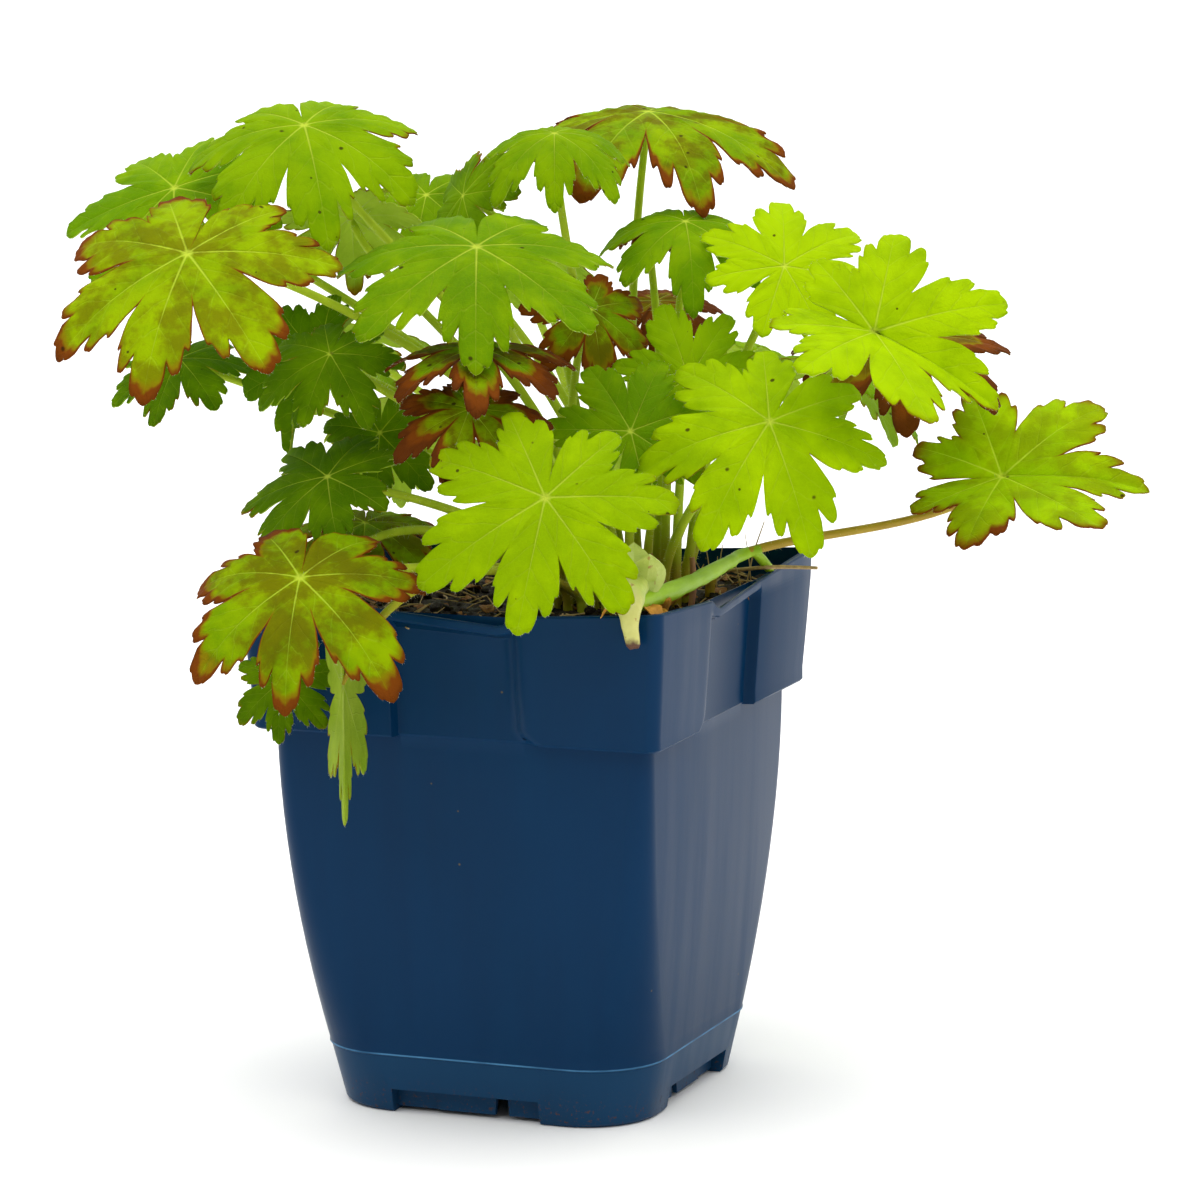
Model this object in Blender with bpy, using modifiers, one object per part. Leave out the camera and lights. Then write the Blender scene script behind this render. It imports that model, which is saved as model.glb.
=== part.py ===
"""A cranesbill in its square nursery pot, filled with soil.

The pot stands on the world origin with its base at z = 0, its two plain faces square to X and Y.
The plant is set out as it is seen from its best side, which is turned PLANT_TURN from the pot's
own front: across is to the right there, up is the height over the ground, and toward is towards
the viewer. Every leaf is one piece with its stalk, and stands in its own hole in the soil.
"""
import math
import random
from collections import namedtuple

import bmesh
import bpy
from mathutils import Matrix, Vector
from mathutils.geometry import delaunay_2d_cdt

# Driving dimensions of the pot, in metres
POT_HEIGHT = 0.154
RIM_HALF = 0.065
RIM_DIP = 0.003
COLLAR_FOOT = 0.114
COLLAR_FOOT_HALF = 0.0627
SHOULDER_HALF = 0.0583
SEAM_HEIGHT = 0.018
SEAM_HALF = 0.052
BASE_HALF = 0.0483
BULGE = 1.7
WALL = 0.0015
PANEL_DEPTH = 0.0038
PANEL_SPAN = (-0.018, 0.017)
PANEL_SLOPE = 0.006
PANEL_STEP = 0.0002
COLLAR_FLARE = 0.0003
LIP_HEIGHT = 0.006
LIP_SLOPE = 0.002
LIP_PANEL_DEPTH = 0.00114
TIGHTEST_CORNER = 0.0015
OUTSIDE = 0.07
BELOW = -0.01
COLLAR_CORNER = 0.004
SHOULDER_CORNER = 0.006
SEAM_CORNER = 0.022
BASE_CORNER = 0.021
CORNER_STEPS = 3

# Driving dimensions of the pot's underside
FLOOR_TOP = 0.0085
LEDGE_RISE = 2.4
CHANNEL_TOP = 0.0065
FOOT_GAP = (-0.026, 0.020)
CENTRE_PAD = 0.008
APRON_SET_BACK = 0.0025
APRON_TOP = 0.0070
APRON_LIFT = 0.001
SLOT_SPAN = (0.004, 0.0105)
SLOT_TOP = 0.0058
DRAIN_RADIUS = 0.004
DRAIN_REACH = 0.028

# Soil, crown and the gap that keeps touching pieces apart
GAP = 0.0003
SOIL_LEVEL = 0.1445
SOIL_ROUGHNESS = 0.0012
SOIL_CELLS = 6
MOUND_HEIGHT = 0.002
MOUND_SPREAD = 0.032
SHOOT_HOLE = 0.0034
PLANT_TURN = math.radians(21.8)
CROWN_PLACE = (0.028, 0.004)
CROWN_RADIUS = 0.0085
CROWN_DEPTH = 0.012
CROWN_RISE = 0.009

# Leaf blades and stalks
BLADE = 0.0007
STALK = 0.0014
STALK_SIDES = 5
STALK_STEPS = 5
STALK_FOOT = 0.004
ROOT_DEPTH = 0.010
HOLE_SLACK = 0.0006
HOLE_RINGS = (0.0125, 0.0185, 0.0245)
ROOT_PITCH = 0.0052
LOBE_ANGLES = (-148, -105, -46, 0, 46, 105, 148)
LOBE_REACH = (0.74, 0.88, 0.98, 1.00, 0.98, 0.88, 0.74)
SINUS_ANGLES = (-180, -128, -75, -23, 23, 75, 128, 180)
SINUS_REACH = (0.13, 0.50, 0.40, 0.45, 0.45, 0.40, 0.50, 0.13)
LOBE_SPREAD = 0.80
LOBE_ROUND = 0.30
TOOTH_NOTCH = 0.90
INNER_RINGS = ((LOBE_ANGLES, 0.50), ((-130, -60, 0, 60, 130), 0.20))
VEIN_SPAN = 25
LARGE_LEAF = 40
PLEAT = 0.05
WAVE = 0.03

COLOURS = {
    "pot": (0.010, 0.034, 0.084),
    "soil": (0.022, 0.016, 0.010),
    "crown": (0.16, 0.10, 0.04),
    "straw": (0.48, 0.33, 0.14),
    "bright": (0.30, 0.50, 0.01),
    "mid": (0.16, 0.30, 0.01),
    "dark": (0.09, 0.19, 0.01),
    "red": (0.26, 0.16, 0.02),
    "dead": (0.14, 0.06, 0.02),
}

Leaf = namedtuple("Leaf", "name across up toward radius facing tilt turn droop fold colour bow arch",
                  defaults=(0, 0))

# Each leaf: where its hub is and how far its longest lobe reaches, in millimetres; the side its face
# leans to, 0 towards the viewer and 90 to the right; how far it leans from level; how far its middle
# lobe is turned from straight downhill; how far its rim droops; how far its halves fold together;
# its colour; and how far its stalk bows sideways and arches up on the way to the blade.
LEAVES = (
    Leaf("leaf_top_left", -64, 285, 5, 43, -5, 24, 15, 45, 0, "mid", -3),
    Leaf("leaf_far_left", -103, 266, -10, 39, -30, 35, -20, 25, 0, "mid", 3),
    Leaf("leaf_left_red", -95, 253, 51, 48, -15, 36, -5, 32, 0, "red", -7, 16),
    Leaf("leaf_left_under", -102, 217, 0, 25, -20, 25, 0, 35, 0, "dark"),
    Leaf("leaf_left_folded", -60, 217, 8, 30, -50, 60, -15, 30, 45, "dark"),
    Leaf("leaf_left_inner", -56, 223, 42, 25, -15, 38, -10, 35, 0, "dark", 3),
    Leaf("leaf_left_shade", -43, 198, 25, 22, -10, 60, 0, 40, 0, "dark"),
    Leaf("leaf_top_front", -14, 253, 42, 48, 0, 22, 0, 34, 0, "mid", -6),
    Leaf("leaf_top_middle", 8, 281, -5, 29, 0, 15, 0, 60, 0, "mid"),
    Leaf("leaf_top_right", 36, 283, -58, 51, 10, 6, 10, 42, 0, "red", 4),
    Leaf("leaf_right_olive", 46, 254, -15, 27, 5, 18, 0, 50, 0, "mid"),
    Leaf("leaf_right_star", 74, 243, 8, 32, 10, 45, 125, 25, 0, "bright"),
    Leaf("leaf_right_backlit", 98, 228, 47, 42, 10, 40, 55, 25, 25, "bright"),
    Leaf("leaf_right_brown", 108, 221, 2, 39, 0, 20, 0, 30, 0, "dead"),
    Leaf("leaf_far_right", 137, 181, 10, 42, -15, 34, 98, 20, 18, "bright", 0, -18),
    Leaf("leaf_right_low", 68, 204, 55, 40, 0, 46, -30, 25, 0, "bright"),
    Leaf("leaf_front", 5, 189, 95, 41, 0, 55, -12, 20, 0, "bright"),
    Leaf("leaf_centre_red", -14, 226, 56, 32, 0, 6, 0, 30, 0, "red"),
    Leaf("leaf_centre_under", -16, 210, 67, 26, 0, 28, -15, 30, 0, "red"),
    Leaf("leaf_centre_olive", 18, 231, 6, 24, 20, 50, 0, 40, 0, "red"),
    Leaf("leaf_centre", 29, 200, 42, 28, 0, 55, 160, 20, 0, "mid"),
    Leaf("leaf_centre_right", 46, 212, 20, 26, 0, 62, 150, 20, 0, "mid"),
    Leaf("leaf_right_shade", 38, 224, -75, 25, 0, 20, 0, 40, 0, "dead"),
    Leaf("leaf_top_dead", 35, 250, -37, 12, 30, 10, 0, 80, 0, "dead", -5),
    Leaf("leaf_back_dark", -31, 259, -55, 28, -10, 30, 0, 40, 0, "dark"),
    Leaf("leaf_back_pale", -52, 256, -20, 26, 180, 45, 0, 30, 0, "dark"),
    Leaf("leaf_top_edge", -19, 262, -20, 24, -60, 65, 0, 30, 0, "dark"),
    Leaf("leaf_lower_left", -57, 189, 50, 30, -30, 35, -75, 30, 0, "dark"),
    Leaf("leaf_lower_olive", -48, 171, 19, 30, 0, 14, 0, 35, 0, "red"),
    Leaf("leaf_low_red", -63, 167, 92, 41, -10, 35, 0, 40, 0, "red"),
    Leaf("leaf_lowest", -70, 132, 54, 19, -20, 60, 0, 20, 0, "dark", -4, 72),
    Leaf("leaf_hanging", -52, 136, 87, 38, 180, 95, 0, 10, 72, "mid", -1, 45),
    Leaf("leaf_rear_left", -60, 215, -75, 35, 200, 25, 0, 40, 0, "mid"),
    Leaf("leaf_rear_high", -5, 240, -95, 35, 180, 20, 0, 40, 0, "mid"),
    Leaf("leaf_rear_right", 60, 205, -112, 35, 165, 25, 0, 40, 0, "mid"),
    Leaf("leaf_rear_side", 92, 205, -60, 34, 130, 25, 0, 40, 0, "mid"),
    Leaf("leaf_rear_low_left", -40, 185, -105, 34, 190, 40, 0, 40, 0, "dark"),
    Leaf("leaf_rear_low_right", 15, 175, -122, 33, 175, 40, 0, 40, 0, "dark"),
)

# The broken side shoot that lies over the front rim, and a straw that lies over the right rim: the
# points of each in millimetres in the pot's frame, with the radius there.
SIDE_SHOOT = ((57, -69.5, 146, 1.5), (56.5, -70.2, 151.5, 3.0), (55, -66, 158.5, 4.0), (51, -54, 160, 4.5),
              (46, -36, 159, 4.0), (42, -20, 154, 3.3), (40, -16, 147, 2.7), (40, -16, 135, 2.3))
STRAW = ((41, 29, 146.8, 0.6), (47, 29, 150.5, 0.6), (56, 28, 152.3, 0.6), (66, 27, 153.6, 0.6),
         (79, 27, 154, 0.5))


def clear_scene():
    for thing in list(bpy.data.objects):
        bpy.data.objects.remove(thing, do_unlink=True)


def new_collection(name):
    collection = bpy.data.collections.new(name)
    bpy.context.scene.collection.children.link(collection)
    return collection


def make_material(name, roughness):
    material = bpy.data.materials.new(name)
    material.use_nodes = True
    shader = material.node_tree.nodes["Principled BSDF"]
    shader.inputs["Base Color"].default_value = (*COLOURS[name], 1.0)
    shader.inputs["Roughness"].default_value = roughness
    material.diffuse_color = (*COLOURS[name], 1.0)
    return material


def mesh_object(name, shape, collection):
    """Turns a bmesh into a named object with its normals facing out."""
    bmesh.ops.recalc_face_normals(shape, faces=shape.faces)
    mesh = bpy.data.meshes.new(name)
    shape.to_mesh(mesh)
    shape.free()
    thing = bpy.data.objects.new(name, mesh)
    collection.objects.link(thing)
    return thing


def bake(thing):
    """Replaces an object's mesh with the mesh that its modifiers give."""
    graph = bpy.context.evaluated_depsgraph_get()
    mesh = bpy.data.meshes.new_from_object(thing.evaluated_get(graph))
    shape = bmesh.new()
    shape.from_mesh(mesh)
    bmesh.ops.remove_doubles(shape, verts=shape.verts, dist=0.000002)
    shape.to_mesh(mesh)
    shape.free()
    thing.modifiers.clear()
    thing.data = mesh


def combine(thing, tools, operation):
    """Joins or cuts an object with every object of a collection, and removes that collection."""
    modifier = thing.modifiers.new(operation.lower(), "BOOLEAN")
    modifier.operation = operation
    modifier.operand_type = "COLLECTION"
    modifier.collection = tools
    modifier.solver = "EXACT"
    bake(thing)
    for tool in list(tools.objects):
        bpy.data.objects.remove(tool, do_unlink=True)
    bpy.data.collections.remove(tools)


def split_faces(thing):
    """Splits every face into triangles, so that each bent face has one shape only."""
    shape = bmesh.new()
    shape.from_mesh(thing.data)
    bmesh.ops.triangulate(shape, faces=shape.faces[:])
    shape.to_mesh(thing.data)
    shape.free()


def box(name, low, high, collection):
    shape = bmesh.new()
    bmesh.ops.create_cube(shape, size=1.0)
    size = [high[i] - low[i] for i in range(3)]
    middle = [(high[i] + low[i]) / 2 for i in range(3)]
    bmesh.ops.scale(shape, vec=size, verts=shape.verts)
    bmesh.ops.translate(shape, vec=middle, verts=shape.verts)
    return mesh_object(name, shape, collection)


def upright_cylinder(name, place, radius, low, high, sides, collection):
    shape = bmesh.new()
    lift = Matrix.Translation((place[0], place[1], (low + high) / 2))
    bmesh.ops.create_cone(shape, cap_ends=True, segments=sides, radius1=radius, radius2=radius,
                          depth=high - low, matrix=lift)
    return mesh_object(name, shape, collection)


def tube(name, points, radii, sides, collection):
    """A closed tube along the points, as a curve turned into a welded mesh."""
    curve = bpy.data.curves.new(name, "CURVE")
    curve.dimensions = "3D"
    curve.bevel_depth = 1.0
    curve.bevel_resolution = 0
    curve.use_fill_caps = True
    spline = curve.splines.new("POLY")
    spline.points.add(len(points) - 1)
    for point, place, radius in zip(spline.points, points, radii):
        point.co = (*place, 1.0)
        point.radius = radius
    profile = ring_profile(name, sides)
    curve.bevel_mode = "OBJECT"
    curve.bevel_object = profile
    guide = bpy.data.objects.new(name, curve)
    collection.objects.link(guide)
    graph = bpy.context.evaluated_depsgraph_get()
    mesh = bpy.data.meshes.new_from_object(guide.evaluated_get(graph))
    bpy.data.objects.remove(guide, do_unlink=True)
    bpy.data.objects.remove(profile, do_unlink=True)
    shape = bmesh.new()
    shape.from_mesh(mesh)
    bmesh.ops.remove_doubles(shape, verts=shape.verts, dist=0.00001)
    return mesh_object(name, shape, collection)


def ring_profile(name, sides):
    """A flat regular outline of unit radius, the section of a tube."""
    curve = bpy.data.curves.new(name + "_section", "CURVE")
    curve.dimensions = "2D"
    spline = curve.splines.new("POLY")
    spline.points.add(sides - 1)
    for i, point in enumerate(spline.points):
        angle = 2 * math.pi * i / sides
        point.co = (math.cos(angle), math.sin(angle), 0.0, 1.0)
    spline.use_cyclic_u = True
    profile = bpy.data.objects.new(name + "_section", curve)
    bpy.context.scene.collection.objects.link(profile)
    return profile


def pot_side(half, corner, recess, inset):
    """One side of the pot's outline, as (along, out) pairs from the hard corner to the soft one.

    along runs to the corner where the collar's panel ends in a slope, and out is the distance from
    the pot's axis. The last corner's arc belongs to the side.
    """
    wall = half - inset
    panel = wall - recess
    step = PANEL_SPAN[0] - inset
    slope = PANEL_SPAN[1] + inset * 0.4
    side = [(step - PANEL_STEP, wall), (step + PANEL_STEP, panel)]
    side += [(slope, panel), (slope + PANEL_SLOPE, wall)]
    radius = max(corner - inset, TIGHTEST_CORNER)
    centre = wall - radius
    for i in range(CORNER_STEPS + 1):
        angle = math.radians(90 * i / CORNER_STEPS)
        side.append((centre + radius * math.sin(angle), centre + radius * math.cos(angle)))
    return side


def pot_ring(half, corner, height, recess=0.0, inset=0.0, dip=0.0):
    """A level outline of the pot: four sides, mirrored about the diagonal through the soft corners."""
    front = pot_side(half, corner, recess, inset)
    ring = [Vector((along, -out, height)) for along, out in front]
    ring += [Vector((out, -along, height)) for along, out in reversed(front[:4])]
    hard = [(out, along) for along, out in front[4:]]
    ring += [Vector((along, out, height)) for along, out in hard]
    rear = [Vector((-point.x, -point.y, height)) for point in ring]
    ring += rear
    for point in ring:
        share = min(abs(point.x), abs(point.y)) / max(abs(point.x), abs(point.y))
        point.z -= dip * (1 - share * share)
    return ring


def loft(name, rings, collection):
    """A closed body through level rings that have the same number of points."""
    shape = bmesh.new()
    loops = [[shape.verts.new(point) for point in ring] for ring in rings]
    count = len(rings[0])
    for lower, upper in zip(loops, loops[1:]):
        for i in range(count):
            j = (i + 1) % count
            shape.faces.new((lower[i], lower[j], upper[j]))
            shape.faces.new((lower[i], upper[j], upper[i]))
    shape.faces.new(list(reversed(loops[0])))
    shape.faces.new(loops[-1])
    return mesh_object(name, shape, collection)


def body_ring(height, inset=0.0):
    """The tapered body between the seam and the shoulder, which narrows faster towards the seam."""
    down = (COLLAR_FOOT - height) / (COLLAR_FOOT - SEAM_HEIGHT)
    half = SHOULDER_HALF - (SHOULDER_HALF - SEAM_HALF) * down ** BULGE
    corner = SHOULDER_CORNER + (SEAM_CORNER - SHOULDER_CORNER) * down ** 2
    return pot_ring(half, corner, height, inset=inset)


def cavity_rings(inset, top):
    """The inside of the pot, inset from its outer surface, from the floor up to the height top."""
    levels = (SEAM_HEIGHT, 0.045, 0.08, COLLAR_FOOT - PANEL_STEP)
    floor_half = BASE_HALF + (SEAM_HALF - BASE_HALF) * FLOOR_TOP / SEAM_HEIGHT
    rings = [pot_ring(floor_half, BASE_CORNER, FLOOR_TOP + inset - WALL, inset=inset)]
    rings += [body_ring(level, inset) for level in levels]
    ledge = COLLAR_FOOT + WALL + LEDGE_RISE * (inset - WALL)
    rings.append(pot_ring(COLLAR_FOOT_HALF, COLLAR_CORNER, ledge, PANEL_DEPTH, inset))
    neck = POT_HEIGHT - LIP_HEIGHT
    rings.append(pot_ring(RIM_HALF - COLLAR_FLARE, COLLAR_CORNER, neck, PANEL_DEPTH, inset))
    rings.append(pot_ring(RIM_HALF, COLLAR_CORNER, top, LIP_PANEL_DEPTH, inset))
    return rings


def build_pot(parts):
    rings = [pot_ring(BASE_HALF, BASE_CORNER, 0.0)]
    rings += [body_ring(level) for level in (SEAM_HEIGHT, 0.035, 0.055, 0.08, 0.1, COLLAR_FOOT)]
    rings.append(pot_ring(COLLAR_FOOT_HALF, COLLAR_CORNER, COLLAR_FOOT + PANEL_STEP, PANEL_DEPTH))
    neck = POT_HEIGHT - LIP_HEIGHT
    rings.append(pot_ring(RIM_HALF - COLLAR_FLARE, COLLAR_CORNER, neck, PANEL_DEPTH))
    rings.append(pot_ring(RIM_HALF, COLLAR_CORNER, neck + LIP_SLOPE, LIP_PANEL_DEPTH))
    for inset in (0.0, 3 * WALL):
        rings.append(pot_ring(RIM_HALF, COLLAR_CORNER, POT_HEIGHT, LIP_PANEL_DEPTH, inset, RIM_DIP))
    pot = loft("pot", rings, parts)
    tools = new_collection("pot_cutters")
    loft("pot_inside", cavity_rings(WALL, POT_HEIGHT - BELOW), tools)
    combine(pot, tools, "DIFFERENCE")
    tools = new_collection("pot_underside")
    cut_underside(tools)
    combine(pot, tools, "DIFFERENCE")
    return pot


def side_box(name, turn, along, out, height, collection):
    """A box given by its spans along a side, out from the axis and in height, for one of four sides.

    Sides 0 and 2 are the front and the rear; sides 1 and 3, right and left, are their mirror image.
    """
    if turn % 2:
        low = (out[0], -along[1], height[0])
        high = (out[1], -along[0], height[1])
    else:
        low = (along[0], -out[1], height[0])
        high = (along[1], -out[0], height[1])
    if turn >= 2:
        low, high = (-high[0], -high[1], low[2]), (-low[0], -low[1], high[2])
    return box(name, low, high, collection)


def cut_underside(tools):
    """Cutters for the channels between the feet, the set-back aprons, the slots and the drains."""
    face = BASE_HALF - APRON_SET_BACK
    inner = face - WALL
    under = (inner - APRON_LIFT, OUTSIDE)
    for turn in range(4):
        side_box("channel", turn, FOOT_GAP, (CENTRE_PAD, inner), (BELOW, CHANNEL_TOP), tools)
        side_box("apron", turn, FOOT_GAP, (face, OUTSIDE), (BELOW, APRON_TOP), tools)
        side_box("lift", turn, FOOT_GAP, under, (BELOW, APRON_LIFT), tools)
        side_box("slot", turn, SLOT_SPAN, under, (BELOW, SLOT_TOP), tools)
        angle = math.radians(90 * turn)
        place = (DRAIN_REACH * math.cos(angle), DRAIN_REACH * math.sin(angle))
        upright_cylinder("drain", place, DRAIN_RADIUS, BELOW, FLOOR_TOP - BELOW, 8, tools)


def build_soil(parts, roots):
    soil = loft("soil", cavity_rings(WALL + GAP, POT_HEIGHT - BELOW), parts)
    tools = new_collection("soil_block")
    soil_block(tools)
    combine(soil, tools, "INTERSECT")
    tools = new_collection("soil_holes")
    low = SOIL_LEVEL - ROOT_DEPTH - GAP
    for name, place in roots.items():
        upright_cylinder(name, place, STALK + HOLE_SLACK, low, POT_HEIGHT, 6, tools)
    shoot = (SIDE_SHOOT[-1][0] / 1000, SIDE_SHOOT[-1][1] / 1000)
    upright_cylinder("shoot_hole", shoot, SHOOT_HOLE, low, POT_HEIGHT, 8, tools)
    upright_cylinder("crown_hole", CROWN_PLACE, CROWN_RADIUS + HOLE_SLACK,
                     SOIL_LEVEL - CROWN_DEPTH - GAP, POT_HEIGHT, 12, tools)
    combine(soil, tools, "DIFFERENCE")
    return soil


def soil_block(tools):
    """A block whose top is the uneven surface of the soil."""
    draw = random.Random(4)
    shape = bmesh.new()
    bmesh.ops.create_grid(shape, x_segments=SOIL_CELLS, y_segments=SOIL_CELLS, size=OUTSIDE)
    for point in shape.verts:
        away = math.hypot(point.co.x - CROWN_PLACE[0], point.co.y - CROWN_PLACE[1]) / MOUND_SPREAD
        mound = MOUND_HEIGHT * math.exp(-away * away)
        point.co.z = SOIL_LEVEL + draw.uniform(-1, 1) * SOIL_ROUGHNESS + mound
    floor = bmesh.ops.extrude_face_region(shape, geom=shape.faces[:])
    for item in floor["geom"]:
        if isinstance(item, bmesh.types.BMVert):
            item.co.z = BELOW
    bmesh.ops.triangulate(shape, faces=shape.faces[:])
    mesh_object("soil_surface", shape, tools)


def build_crown(parts):
    """The plant's short woody crown, turned from a knobbly profile, sunk in the soil."""
    profile = [(0.0, CROWN_RISE), (0.55, CROWN_RISE * 0.85), (0.85, CROWN_RISE * 0.45),
               (1.0, 0.0), (1.0, -CROWN_DEPTH), (0.0, -CROWN_DEPTH)]
    shape = bmesh.new()
    points = [shape.verts.new((x * CROWN_RADIUS, 0.0, z)) for x, z in profile]
    edges = [shape.edges.new(pair) for pair in zip(points, points[1:])]
    bmesh.ops.spin(shape, geom=points + edges, cent=(0, 0, 0), axis=(0, 0, 1),
                   angle=2 * math.pi, steps=10, use_merge=True)
    bmesh.ops.remove_doubles(shape, verts=shape.verts, dist=0.00001)
    crown = mesh_object("crown", shape, parts)
    crown.location = (CROWN_PLACE[0], CROWN_PLACE[1], SOIL_LEVEL)
    return crown


def plant_point(across, up, toward):
    """A place given as seen from the plant's best side, in millimetres, in the pot's frame."""
    turn = Matrix.Rotation(PLANT_TURN, 3, "Z")
    return turn @ Vector((across, -toward, up)) / 1000


def blade_outline(teeth):
    """The lobed and toothed outline of a leaf of unit radius, as (angle, reach) pairs."""
    outline = []
    for i, middle in enumerate(LOBE_ANGLES):
        start, end = SINUS_ANGLES[i], SINUS_ANGLES[i + 1]
        outline.append((start, SINUS_REACH[i]))
        count = teeth if 0 < i < len(LOBE_ANGLES) - 1 else 3
        for j in range(2 * count - 1):
            place = LOBE_SPREAD * (j / (count - 1) - 1)
            width = (end - middle) if place > 0 else (middle - start)
            reach = LOBE_REACH[i] * (1 - LOBE_ROUND * place * place)
            if j % 2:
                reach *= TOOTH_NOTCH
            outline.append((middle + place * width, reach))
    return outline


def blade_net(teeth):
    """The blade as flat points and triangles, with inner points along the veins."""
    outline = blade_outline(teeth)
    polar = outline + [(angle, reach) for angles, reach in INNER_RINGS for angle in angles]
    flat = []
    for angle, reach in polar:
        turn = math.radians(angle)
        flat.append(Vector((reach * math.cos(turn), reach * math.sin(turn))))
    flat.append(Vector((0.0, 0.0)))
    border = [(i, (i + 1) % len(outline)) for i in range(len(outline))]
    points, _, faces, _, _, _ = delaunay_2d_cdt(flat, border, [], 1, 0.0001)
    return points, faces


def blade_shape(flat, leaf, draw):
    """Bends the flat blade: its rim droops, its veins sink, its halves fold and its edge waves."""
    reach = flat.length
    angle = math.atan2(flat.y, flat.x)
    bend = math.radians(leaf.droop) * max(reach, 0.001)
    out = reach * math.sin(bend) / bend
    drop = reach * (1 - math.cos(bend)) / bend
    vein = min(abs(math.degrees(angle) - lobe) for lobe in LOBE_ANGLES) / VEIN_SPAN
    lift = PLEAT * reach * min(vein, 1.0) + WAVE * reach * reach * math.sin(3 * angle + draw)
    x, y = out * math.cos(angle), out * math.sin(angle)
    half = math.radians(leaf.fold)
    return Vector((x, y * math.cos(half), lift - drop + abs(y) * math.sin(half)))


def leaf_frame(leaf):
    """The blade's own axes: along its middle lobe, across it, and up from its face."""
    tilt = math.radians(leaf.tilt)
    facing = math.radians(leaf.facing)
    side = Vector((math.sin(facing), -math.cos(facing), 0.0))
    side.rotate(Matrix.Rotation(PLANT_TURN, 3, "Z"))
    up = Vector((0, 0, 1))
    normal = up * math.cos(tilt) + side * math.sin(tilt)
    downhill = side * math.cos(tilt) - up * math.sin(tilt)
    middle = Matrix.Rotation(math.radians(leaf.turn), 3, normal) @ downhill
    return middle, normal.cross(middle), normal


def build_blade(leaf, collection):
    hub = plant_point(leaf.across, leaf.up, leaf.toward)
    middle, across, normal = leaf_frame(leaf)
    points, faces = blade_net(5 if leaf.radius >= LARGE_LEAF else 3)
    draw = random.Random(leaf.name).uniform(0, 2 * math.pi)
    shape = bmesh.new()
    corners = []
    for flat in points:
        local = blade_shape(flat, leaf, draw) * (leaf.radius / 1000)
        corners.append(shape.verts.new(hub + middle * local.x + across * local.y + normal * local.z))
    for face in faces:
        shape.faces.new([corners[i] for i in face])
    blade = mesh_object(leaf.name, shape, collection)
    solid = blade.modifiers.new("thickness", "SOLIDIFY")
    solid.thickness = BLADE
    solid.offset = 0.0
    bake(blade)
    return blade


def stalk_route(leaf, root):
    """The stalk's points: upright out of the soil, out in one bend, and up into the blade's hub.

    A stalk to a high leaf climbs first and meets the blade square; one to a low leaf leaves low and
    meets the blade from the crown's side.
    """
    hub = plant_point(leaf.across, leaf.up, leaf.toward)
    normal = leaf_frame(leaf)[2]
    base = Vector((root[0], root[1], SOIL_LEVEL + STALK_FOOT))
    up = Vector((0, 0, 1))
    way = hub - base
    span = way.length
    steep = max(way.z / span, 0.0)
    outward = Vector((way.x, way.y, 0.0)).normalized()
    sideways = up.cross(outward) * leaf.bow / 1000
    arrival = (normal * steep ** 2 + outward * (1 - steep)).normalized()
    first = base + up * span * (0.08 + 0.4 * steep) + sideways
    last = hub - arrival * span * 0.25 + up * leaf.arch / 1000 + sideways
    points = [Vector((root[0], root[1], SOIL_LEVEL - ROOT_DEPTH)), base]
    for i in range(1, STALK_STEPS + 1):
        t = i / STALK_STEPS
        points.append(base * (1 - t) ** 3 + first * 3 * t * (1 - t) ** 2
                      + last * 3 * t * t * (1 - t) + hub * t ** 3)
    points.append(hub + (hub - points[-2]).normalized() * STALK)
    return points


def build_leaf(leaf, root, parts):
    thing = build_blade(leaf, parts)
    tools = new_collection(leaf.name + "_pieces")
    points = stalk_route(leaf, root)
    tube(leaf.name + "_stalk", points, [STALK] * len(points), STALK_SIDES, tools)
    combine(thing, tools, "UNION")
    return thing


def root_places():
    """Roots in three rings round the crown, each leaf's on the side that the leaf hangs to."""
    groups = ([leaf for leaf in LEAVES if leaf.up >= 245],
              [leaf for leaf in LEAVES if 200 <= leaf.up < 245],
              [leaf for leaf in LEAVES if leaf.up < 200])
    places = {}
    for group, radius in zip(groups, HOLE_RINGS):
        angles = {leaf.name: compass(leaf) for leaf in group}
        order = sorted(angles, key=angles.get)
        spread(angles, order, ROOT_PITCH / radius)
        for name in order:
            places[name] = (CROWN_PLACE[0] + radius * math.cos(angles[name]),
                            CROWN_PLACE[1] + radius * math.sin(angles[name]))
    return places


def compass(leaf):
    """The direction of a leaf from the crown, as an angle in the pot's frame."""
    hub = plant_point(leaf.across, leaf.up, leaf.toward)
    return math.atan2(hub.y - CROWN_PLACE[1], hub.x - CROWN_PLACE[0])


def spread(angles, order, pitch):
    """Pushes neighbours on a ring apart until none is nearer than the pitch."""
    turn = 2 * math.pi
    for _ in range(300):
        for i, here in enumerate(order):
            there = order[(i + 1) % len(order)]
            apart = angles[there] - angles[here] + (turn if there == order[0] else 0.0)
            push = max(pitch - apart, 0.0) / 2
            angles[here] -= push
            angles[there] += push


def build_route(name, route, sides, parts):
    """A tapering stem along a list of places and radii in millimetres."""
    points = [Vector(row[:3]) / 1000 for row in route]
    return tube(name, points, [row[3] / 1000 for row in route], sides, parts)


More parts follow.
